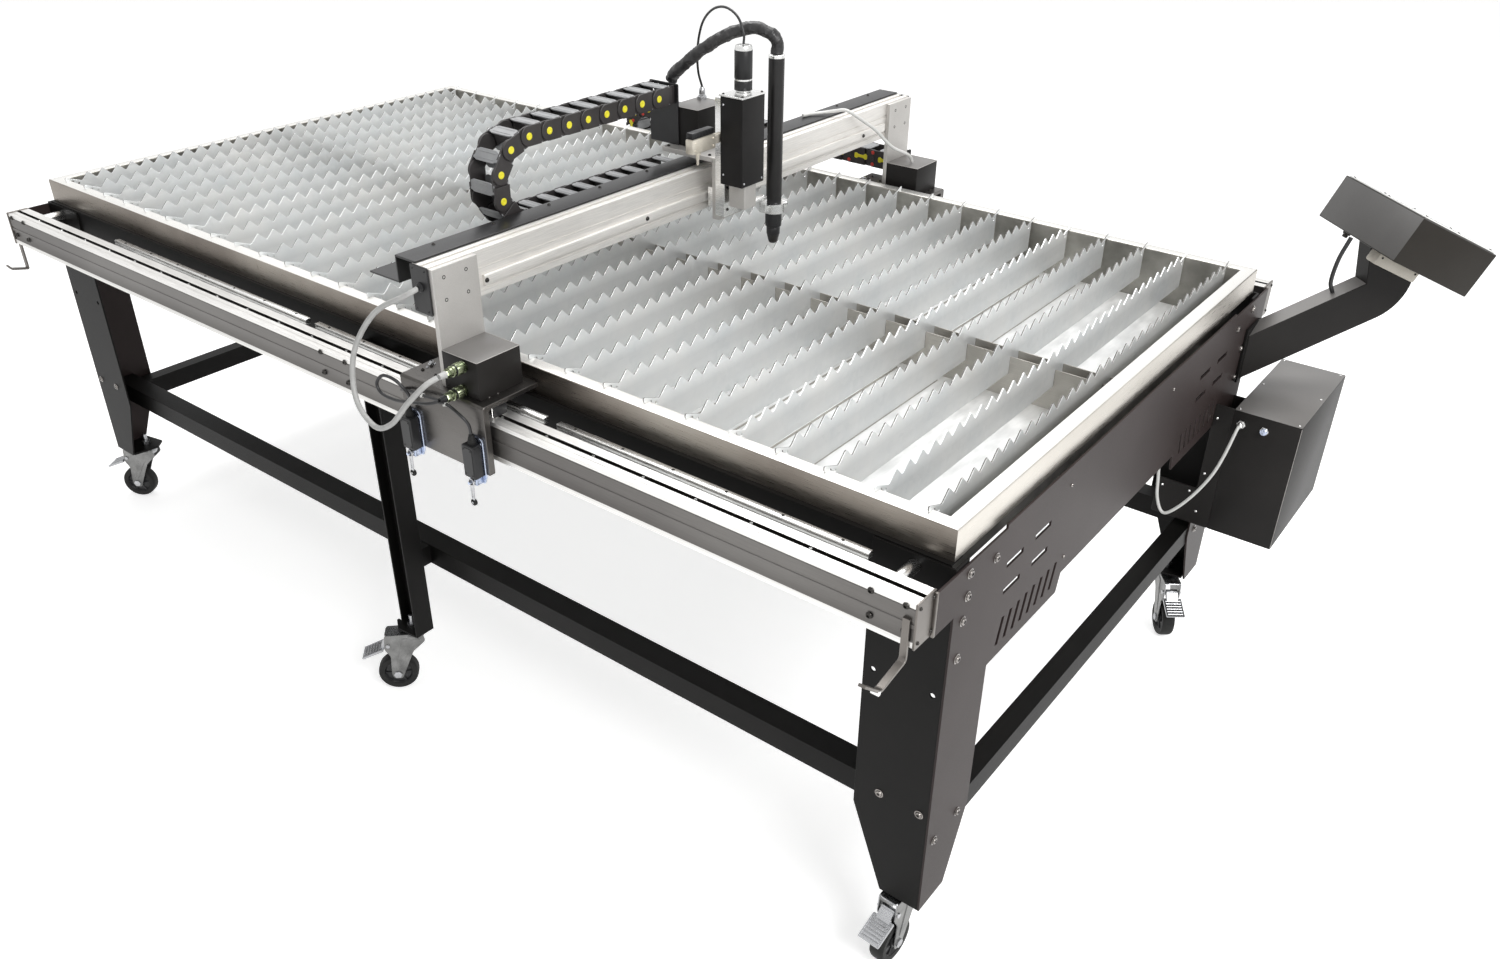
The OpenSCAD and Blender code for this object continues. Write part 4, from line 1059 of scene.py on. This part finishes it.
def make_motor_boxes():
    top = MOTOR_BOX_TOP - 0.3
    for name, side in (("near", -1), ("far", 1)):
        build = Build(BOX_POWDER)
        low, high = sorted((side * 676, side * MOTOR_BOX_SIDE))
        build.block((345, low, BRACKET_TOP), (435, high, MOTOR_BOX_TOP), 1.6)
        # Top faces take the lighter copy of the coat: painted light
        build.tint(LIT_TOP_COAT, lambda n, c: n.z > 0.9)
        # Thin light rods along the top edges: painted highlights
        build.paint(EDGE_HIGHLIGHT)
        for y in (low + 0.4, high - 0.4):
            build.sweep([(346, y, top), (434.4, y, top)], 0.55)
        build.sweep([(434.7, low + 1, top), (434.7, high - 1, top)], 0.55)
        build.paint(BOX_POWDER).bolts((352, 428), [side * (MOTOR_BOX_SIDE - 0.2)], [917],
                                      OUT[side], 2.4, 1.4)
        build.done(f"{name}_motor_box", "gantry", "black_powder_coat", "gantry_motor_boxes")


make_motor_boxes()


def make_connectors():
    build = Build(OLIVE)
    for x, z in ((402, 969), (395, 921.5)):
        build.paint(OLIVE)
        build.solid([(10.4, 0), (10.8, 1), (10.8, 4), (9.2, 4.6), (9.2, 7), (10.9, 7.6),
                     (10.9, 20), (10.2, 21), (9.4, 21), (9.4, 24), (10.2, 24.6), (10.2, 28),
                     (8.4, 28.6), (8.4, 34)], (x, -MOTOR_BOX_SIDE, z), "-y", 32)
        for u, v in circle((x, z), 10.75):
            build.sweep([(u, -784.5, v), (u, -795.6, v)], 0.75)
        build.paint(PLASTIC).lathe([(9.6, 0), (10.6, 0.4), (10.6, 2.6), (9.6, 3)], (x, -797, z),
                                   "-y", 28)
        build.paint(OLIVE).solid([(7.6, 0), (8.3, 0.8), (8.3, 8), (7.4, 9.6)], (x, -808, z),
                                 "-y", 6)
        build.paint(GREY_JACKET if z > 950 else PLASTIC)
        build.solid([(6.6, 0), (6.2, 4), (5.6, 9), (5.4, 14.6)], (x, -817, z), "-y")
    build.done("round_connectors", "gantry", "connector_metal", "motor_connectors")


make_connectors()


def make_switch(name, x):
    pin_z, roller_z = 765, 723
    build = Build(BLUE_ZINC)
    back = rounded([(x - 19, 770), (x - 13, 756), (x + 13, 756), (x + 19, 770), (x + 19, 842),
                    (x + 14, 848), (x - 14, 848), (x - 19, 842)], 3)
    build.plate(back, "y", -794, 4, [circle((x + dx, 838), 1.6, 10) for dx in (-15.6, 15.6)], 0.8)
    build.block((x - 10, -809, 757), (x + 10, -794, 772.5), 2.5)
    build.solid([(2.95, 0), (2.95, 10)], (x, -809, pin_z), "-y", 20)
    build.paint(PLASTIC).plate(rect(x - 15, 773, x + 15, 838, 3.5, 4), "y", -814, 20, (), 1.6)
    build.plate(rect(x - 12, 777, x + 12, 834, 3), "y", -815, 1.4, (), 0.5)
    build.bolts((x - 9, x + 9), [-814.8], (781, 830), "-y", 1.9, 1)
    build.paint(RUBBER)
    build.solid([(8, 838), (8, 843), (6.9, 844), (6.9, 846), (6, 847), (6.4, 848.5), (5.6, 849.5),
                 (5.8, 851), (4.9, 852), (5, 853.5), (4.2, 854.5), (4.2, 856)], (x, -801, 0))
    build.done(f"{name}_switch", "gantry", "zinc", "limit_switches")
    lever = Build(ZINC)
    lever.lathe([(3.05, 0), (7, 0), (7, 3.8), (6, 4.6), (3.05, 4.6)], (x, -809.4, pin_z), "-y")
    bar = arc((x, roller_z), 3.4, range(180, 361, 30)) + arc((x, pin_z), 5.6, range(0, 181, 30))
    slot = rect(x - 1.2, 733, x + 1.2, 753, 1.1)
    lever.plate(bar, "y", -814, 3, [slot, circle((x, pin_z), 3.05)], 0.5)
    lever.paint(RUBBER).solid([(6.2, 0), (6.8, 0.8), (6.8, 4.2), (6.2, 5)], (x, -809, roller_z),
                              "-y")
    lever.paint(ZINC).solid([(2.2, 0), (2.2, 1.4), (1.6, 1.8)], (x, -814, roller_z), "-y", 14)
    lever.done(f"{name}_lever", f"switch_lever_{name}", "zinc", f"switch_lever_{name}")


make_switch("left", 263)
make_switch("right", 430)


def make_ties():
    """Cable ties round a cord, each a band with its head."""
    radius = 3.05
    build = Build(TIE)
    for x, y, z in ((378, -805.4, 899.6), (309, -800, 893)):
        build.lathe([(radius, -1.2), (radius + 1.1, -1.2), (radius + 1.1, 1.2), (radius, 1.2)],
                    (x, y, z), "x", 20)
        build.block((x - 1.8, y - radius - 3.6, z - 1.6), (x + 1.8, y - radius - 0.6, z + 1.6),
                    0.5)
    build.done("cable_ties", "gantry", "cord_jacket")


make_ties()


# Cross carriage and height slide
SLIDE_FACE = 404
BRIDGE_TOP = 1160
SCREW_AT = (433, -38, 0)
TORCH_AT = (440, 62, 0)


def make_carriage():
    build = Build(PLATE)
    build.plate(rect(-50, 1030, 30, 1160, 3), "x", 362, 18, (), 0.9)
    bridge = rounded([(225, -50), (362, -50), (362, 30), (300, 30), (300, 80), (225, 80)], 3)
    build.plate(bridge, "z", 1150, 10, (), 0.9)
    build.paint(BRIGHT).plate(rect(-62, 1045, -4, 1290, 3), "x", 380, 24, (), 0.9)
    build.block((380, -30, 1150), (SLIDE_FACE, 20, BRIDGE_TOP), 1)
    build.block((345.8, -45, 1052), (362, 25, 1096), 2)
    build.paint(OXIDE).bolts([SLIDE_FACE], (-52, -14), (1060, 1105), "x", 3.4, 2.6)
    build.bolts([380], (-40, 20), (1040, 1110, 1148), "x", 3.8, 3)
    for x, y in ((236, -40), (290, -40), (348, -40), (236, 68), (290, 68), (348, 20)):
        build.bolt((x, y, BRIDGE_TOP), "z", 3.8, 3)
    build.paint(CREAM).block((384, -160, 1196), (SLIDE_FACE, -88, 1225), 2.5)
    build.block((386, -88, 1202), (400, -62, 1220), 2)
    build.solid([(2.2, 1170), (2.8, 1172), (2.8, 1180), (4, 1182), (4, 1190), (6.5, 1191),
                 (6.5, 1196)], (394, -134, 0), "z", 20)
    build.bolts([SLIDE_FACE], (-152, -96), (1203, 1218), "x", 2.2, 1.4)
    build.paint(PLASTIC).block((384, -158, 1225), (402, -90, 1238), 3)
    for y in range(-150, -96, 9):
        build.block((383.6, y, 1228), (402.4, y + 3.5, 1236), 0.8)
    build.done("cross_carriage", "carriage", "plate", "carriage_plate")


make_carriage()


def make_carriage_box():
    build = Build(BOX_POWDER)
    build.block((225, -20, BRIDGE_TOP), (300, 78, 1240), 1.8)
    # Top faces take the lighter copy of the coat: painted light
    build.tint(LIT_TOP_COAT, lambda n, c: n.z > 0.9)
    # Thin light rods along two top edges: painted highlights
    build.paint(EDGE_HIGHLIGHT).sweep([(299.8, -19, 1239.8), (299.8, 77, 1239.8)])
    build.sweep([(226, -19.8, 1239.8), (299, -19.8, 1239.8)])
    holes = [circle(at, 2.6, 12) for at in
             itertools.product((182, 196, 224, 238), (1252, 1266, 1278))]
    build.paint(PLASTIC).plate(rect(172, BRIDGE_TOP, 250, 1286, 3), "y", -24, 4, holes, 0.6)
    build.paint(ZINC).bolts((182, 196, 224, 238), [-24], [1272], "-y", 2.6, 1.6)
    at = (245, 62, 1240)
    build.solid([(11, 0), (11, 6), (10, 7)], at, "z", 6)
    build.solid([(7.4, 7), (7.4, 10), (6.6, 10.6), (7, 11.4), (7, 19), (6, 22), (4.4, 24),
                 (4, 26)], at)
    build.done("carriage_box", "carriage", "black_powder_coat", "carriage_motor_box")


make_carriage_box()


def make_z_unit():
    build = Build(HOUSING)
    shell, hollow = (rect(404 + t, -75 + t, 460 - t, -2 - t) for t in (0, 3))
    build.plate(rounded(shell, 1.6), "z", 1120, 176, [hollow], 0.8)
    build.paint(ZINC).bolts([460], (-68, -9), [1128], "x", 2.4, 1.5)
    build.bolts([412], [-75], (1140, 1280), "-y", 2.4, 1.5)
    build.paint(BRIGHT).plate(rect(402, -77, 462, 0, 2), "z", 1296, 4, (), 0.8)
    build.paint(OXIDE).bolts((408, 456), (-70, -7), [1300], "z", 2.6, 1.8)
    build.done("height_housing", "carriage", "black_powder_coat", "z_housing")
    motor = Build(BRIGHT)
    at = SCREW_AT
    motor.solid([(16, 1300), (16, 1302), (14, 1303), (14, 1306)], at)
    for low, high in ((1306, 1325), (1328, 1382)):
        motor.paint(PLASTIC).solid([(17.4, low), (18, low + 1), (18, high - 1), (17.4, high)], at,
                                   "z", 40)
    motor.paint(BRIGHT).solid([(17.7, 1325), (17.7, 1328)], at, "z", 40)
    motor.solid([(17.2, 1382), (17.2, 1388), (15.6, 1390.5), (8, 1391.4), (4.4, 1391.4),
                 (4.2, 1392)], at, "z", 40)
    for x, y in arc(at, 12, (30, 150, 270)):
        motor.bolt((x, y, 1390.2), "z", 1.8, 1)
    screw = [(0, 1060)]
    for z in range(1062, 1290, 4):
        screw += [(3.3, z), (4, z + 1.2), (4, z + 2), (3.3, z + 3.2)]
    motor.paint(ZINC).lathe([*screw, (3.3, 1290), (0, 1290)], at, "z", 16)
    motor.done("height_motor", "carriage", "motor_case", "z_motor")


make_z_unit()


def make_torch():
    build = Build(PLATE)
    build.plate(rect(412, -58, 454, -18, 3), "z", 1070, 120, [circle(SCREW_AT, 4.5, 20)], 0.9)
    build.paint(BRIGHT)
    for low, high in (((412, -18, 1071), (446, -12, 1100)), ((430, -18, 1071), (446, 30, 1077)),
                      ((430, 24, 1040), (446, 30, 1071)), ((430, 30, 1040), (446, 41, 1054)),
                      ((434, 82, 1036), (438.6, 104, 1052)), ((441.4, 82, 1036), (446, 104, 1052))):
        build.block(low, high, 0.9)
    at = TORCH_AT
    build.lathe([(16.6, 1034), (22, 1034), (22.5, 1034.5), (22.5, 1053.5), (22, 1054),
                 (16.6, 1054)], at, "z", 48)
    build.bolt((446, 97, 1044), "x", 4, 4, True)
    build.bolt((434, 97, 1044), "-x", 4.4, 3.4, True)
    build.bolts([430], [-12], (1078, 1092), "y", 2.8, 2)
    build.bolt((438, 27, 1077), "z", 2.8, 2)
    build.done("torch_clamp", "torch_slide", "plate", "torch_holder")
    torch = Build(SLEEVE_TUBE)
    torch.solid([(16.3, 1033), (16.5, 1034), (16.5, 1354), (16.2, 1356)], at, "z", 48)
    torch.paint(BRIGHT).lathe([(16.3, 1352), (17.1, 1352.4), (17.1, 1357.6), (16, 1358.6),
                               (14, 1359.6), (0, 1359.8)], at, "z", 40)
    torch.paint(PLASTIC).solid([(14.6, 1001), (15.2, 1003), (17.4, 1004), (17.5, 1006),
                                (17.5, 1029), (17.2, 1031), (16.2, 1033)], at, "z", 48)
    for x, y in circle(at, 16.9, 12):
        torch.sweep([(x, y, 1008), (x, y, 1027)], 0.9)
    torch.solid([(13.4, 984), (14.4, 986), (14.6, 1000), (14, 1001)], at, "z", 40)
    torch.paint(SHIELD).lathe([(0, 966.4), (1.2, 966.4), (1.4, 966), (8, 966), (9, 967),
                               (10.4, 971), (13.2, 983), (13.4, 984.2), (0, 984.2)], at, "z", 40)
    torch.done("torch_body", "torch_slide", "torch_plastic", "torch")


make_torch()


# Console end
BOX_FRONT = 510
BOX_TOP = 672


def make_control_box():
    build = Build(BOX_POWDER)
    build.block((1355, BOX_FRONT, 366), (1498, 840, BOX_TOP), 2.2)
    # Top faces take the lighter copy of the coat: painted light
    build.tint(LIT_TOP_COAT, lambda n, c: n.z > 0.9)
    front = rounded([(1224, 366), (1355.4, 366), (1355.4, BOX_TOP), (1315, BOX_TOP), (1315, 457),
                     (1224, 457)], 3)
    build.paint(BOX_POWDER).plate(front, "y", BOX_FRONT, 4, [circle((1236, 378), 2.6, 10)], 0.7)
    for y in (540, 644):
        build.block((1315, y, 420), (1355, y + 4, 640))
    # A thin light rod along the front corner: painted highlight
    build.paint(EDGE_HIGHLIGHT).sweep([(1497.4, BOX_FRONT + 0.6, 370), (1497.4, BOX_FRONT + 0.6, 669)])
    build.paint(BRIGHT)
    for x, z in ((1238, 440), (1238, 392), (1300, 446), (1324, 640), (1324, 500), (1324, 400)):
        build.bolt((x, BOX_FRONT, z), "-y", 3, 1.8)
    build.bolts((1364, 1489), (520, 675, 830), [BOX_TOP], "z", 2.6, 1.2)
    build.solid([(9.4, 0), (9.4, 4.6), (8.6, 5.2)], (1376, BOX_FRONT, 643), "-y", 6)
    build.solid([(7.2, 5), (7.2, 8), (6.4, 8.5), (7, 9.2), (7, 12), (5.6, 14), (3.6, 15.8)],
                (1376, BOX_FRONT, 643), "-y")
    build.solid([(9.4, 0), (9.4, 3), (8.6, 3.6)], (1425, BOX_FRONT, 642), "-y", 6)
    build.paint(BLUE_ZINC).solid([(7.4, 3.4), (7.8, 4.2), (7.8, 8), (6.6, 9.4), (3, 10)],
                                 (1425, BOX_FRONT, 642), "-y", 28)
    build.done("control_cabinet", "table", "black_powder_coat", "control_box")


make_control_box()


def make_console():
    build = Build(CONSOLE_COAT)
    build.turn = (Matrix.Translation((1542, 882, 1050)) @ rotation(45, "Z")
                  @ rotation(24.8, "Y"))
    build.block((-103.5, -143.5, -100), (103.5, 143.5, -0.6), 2)
    # The face tilted up takes the lighter copy of the coat: painted light
    build.tint(CONSOLE_LIT_FACE, lambda n, c: 0.3 < n.z < 0.6)
    build.paint(BRIGHT).plate(rect(-99.5, -139.5, 99.5, 139.5, 5, 4), "z", -0.4, 3.4,
                              [rect(-78, -118, 78, 118, 4, 4)], 0.7)
    build.paint(SCREEN).plate(rect(-77.5, -117.5, 77.5, 117.5, 4, 4), "z", -0.4, 2.2, (), 0.4)
    build.paint(OXIDE).bolts((-91, 0, 91), (-131, 131), [3], "z", 3, 1.6)
    build.bolts((-91, 91), [0], [3], "z", 3, 1.6)
    build.paint(OFF_WHITE).block((-70, -61, -126), (45, -26, -100), 4)
    build.paint(OXIDE).bolts((-60, 35), [-61], [-108], "-y", 2.4, 1.4)
    build.solid([(9, 0), (9, 5), (6, 7), (6, 12), (4.8, 13)], (-70, 70, -100), "-z", 20)
    build.done("console_case", "table", "console_paint", "console_box")


make_console()


def make_arm():
    """Cranked tube with a curved elbow in the upright plane that turns 45 degrees out."""
    elbow = arc((232, 918), 104, [-6 - 58 * k / 8 for k in range(9)])
    outline = [(-14, 793), (0, 800), (229, 905), (215, 992), (331, 938.5), (340, 912), *elbow,
               (0, 697), (-14, 691)]
    build = Build(BOX_POWDER)
    build.turn = Matrix.Translation((1315, 652, 0)) @ rotation(45, "Z")
    build.plate(outline, "y", -23, 46, (), 1.2)
    # Upward faces take the lighter copy of the coat: painted light
    build.tint(LIT_TOP_COAT, lambda n, c: n.z > 0.7)
    build.turn = Matrix.Identity(4)
    build.paint(POWDER).plate(rect(612, 685, 700, 812, 4), "x", 1315, 6, (), 0.8)
    build.done("arm_tube", "table", "black_powder_coat", "console_arm")


make_arm()


# Brackets of the rails
def flat_bar(build, path, low, high, thick):
    """Strip bent along a path of (y, z) points, between two x."""
    line = [Vector(p) for p in path]
    left, right = [], []
    for i, p in enumerate(line):
        ahead = (line[min(i + 1, len(line) - 1)] - line[max(i - 1, 0)]).normalized()
        side = Vector((-ahead.y, ahead.x)) * thick / 2
        left.append(tuple(p + side))
        right.append(tuple(p - side))
    build.plate([*left, *right[::-1]], "x", low, high - low, (), 0.7)


def bent(points, radius=7, steps=4):
    """The path with its inner corners rounded."""
    made = [points[0]]
    for a, b, c in zip(points, points[1:], points[2:]):
        a, b, c = Vector(a), Vector(b), Vector(c)
        start = b + (a - b).normalized() * radius
        stop = b + (c - b).normalized() * radius
        made += [tuple(p) for p in quadratic(start, b, stop, steps)]
    return [*made, points[-1]]


def make_rail_brackets():
    build = Build(COVER)
    for end, side in itertools.product((-1, 1), (-1, 1)):
        y0, y1 = sorted((side * 720, side * 772))
        build.paint(COVER).plate(rect(y0, 796, y1, 876, 2), "x", end * 1308 - 2, 4, (), 0.7)
        build.block((end * 1310, side * 722, 794), (end * 1315, side * 727, 873))
        at = (end * 1243, side * 668, 858)
        build.paint(BRIGHT).lathe([(8, 0), (10.6, 0), (11, 0.6), (11, 51.4), (10.6, 52), (8, 52)],
                                  at, OUT[side], 28)
        build.paint(OXIDE).solid([(8.2, 0.4), (8.2, 51.6)], at, OUT[side], 16)
    build.paint(COVER)
    for side in (-1, 1):
        build.block((20, side * 711, 812), (40, side * 720, 848), 0.8)
    right = bent([(-772.5, 848), (-772.5, 774), (-837.5, 760), (-882, 799)])
    flat_bar(build, right, 1288, 1300, 4.6)
    left = bent([(-758.5, 850), (-758.5, 725), (-797, 734.5), (-804, 745)], 3)
    flat_bar(build, left, -1322, -1310, 4.6)
    build.paint(BRIGHT).block((1286.8, -846, 758.6), (1301.2, -840, 765.6), 0.8)
    build.done("rail_covers_and_hooks", "table", "plate", "rail_brackets")
    trough = Build(POWDER)
    profile = [(799, 800), (873, 800), (873, 850), (870, 850), (870, 803), (799, 803)]
    trough.plate(rounded(profile, 1, 2), "x", -1306, 1326, (), 0.6)
    foot = rounded([(640, 764), (804, 764), (804, 800), (800, 800), (800, 768), (660, 768),
                    (660, 774), (640, 774)], 0.8, 2)
    for x in (-1130, -665, -200):
        trough.paint(POWDER).plate(foot, "x", x - 15, 30, (), 0.6)
        trough.paint(ZINC).bolts([x], (650, 690, 780), [764], "-z", 4, 2.6)
    trough.done("chain_trough", "table", "black_powder_coat", "rail_brackets")


make_rail_brackets()


def torch_lead():
    build = Build(SLEEVE)
    build.sweep(smooth(LEAD_ROUTE, 18), LEAD_DIAMETER / 2, 24)
    build.bm.normal_update()
    for vert in build.bm.verts:
        crease = abs(noise.noise(vert.co * 0.045)) + 0.5 * abs(noise.noise(vert.co * 0.11))
        vert.co += vert.normal * (0.8 - 4.2 * crease)
    lead = build.done("torch_lead_sleeve", None, "lead_sleeve", "torch_lead")
    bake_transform(lead)


torch_lead()


# Floor, lamps and world
FLOOR_REACH = 30
FLOOR_Z = -0.0005
FLOOR_COLOUR = (0.80, 0.80, 0.795, 1)
FLOOR_GLOW = (0.1, 0.62)
WORLD_GLOW = (0.38, 1)


def shown_rays(tree):
    """1 for the rays that show a background: straight, off metal or through glass."""
    path = tree.nodes.new("ShaderNodeLightPath")
    shown = path.outputs["Is Camera Ray"]
    for name in ("Is Glossy Ray", "Is Transmission Ray"):
        either = tree.nodes.new("ShaderNodeMath")
        either.operation = "MAXIMUM"
        tree.links.new(shown, either.inputs[0])
        tree.links.new(path.outputs[name], either.inputs[1])
        shown = either.outputs[0]
    return shown


def make_stage():
    data = bpy.data.meshes.new("floor")
    corners = rect(-FLOOR_REACH, -FLOOR_REACH, FLOOR_REACH, FLOOR_REACH)
    data.from_pydata([(x, y, FLOOR_Z) for x, y in corners], [], [(0, 1, 2, 3)])
    n = Nodes("floor")
    n.shader.inputs["Base Color"].default_value = FLOOR_COLOUR
    n.shader.inputs["Roughness"].default_value = 0.7
    glow = n.new("Emission")
    n.link(n.ramp(shown_rays(n.tree), *FLOOR_GLOW, 0, 1), glow.inputs["Strength"])
    add = n.new("AddShader")
    n.link(n.shader.outputs[0], add.inputs[0])
    n.link(glow.outputs[0], add.inputs[1])
    n.link(add.outputs[0], n.tree.nodes["Material Output"].inputs["Surface"])
    data.materials.append(n.material)
    put("floor", data)


def make_world():
    world = bpy.data.worlds.new("studio")
    bpy.context.scene.world = world
    world.use_nodes = True
    tree = world.node_tree
    strength = tree.nodes.new("ShaderNodeMapRange")
    strength.inputs["To Min"].default_value = WORLD_GLOW[0]
    strength.inputs["To Max"].default_value = WORLD_GLOW[1]
    tree.links.new(shown_rays(tree), strength.inputs["Value"])
    back = tree.nodes["Background"]
    back.inputs["Color"].default_value = (1, 1, 1, 1)
    tree.links.new(strength.outputs["Result"], back.inputs["Strength"])


def make_lamp(name, at, aim, size, power):
    data = bpy.data.lights.new(name, "AREA")
    data.shape = "RECTANGLE"
    data.size, data.size_y = size
    data.energy = power
    lamp = put(name, data)
    lamp.location = at
    lamp.rotation_euler = (Vector(aim) - Vector(at)).to_track_quat("-Z", "Y").to_euler()


make_stage()
make_world()
make_lamp("key", (4.6, -1.6, 4.2), (0, 0, 0.8), (3, 2), 215)
make_lamp("top", (-0.8, 1.0, 4.4), (0, 0, 0.8), (4, 3), 165)
bpy.context.scene.view_settings.view_transform = "Standard"
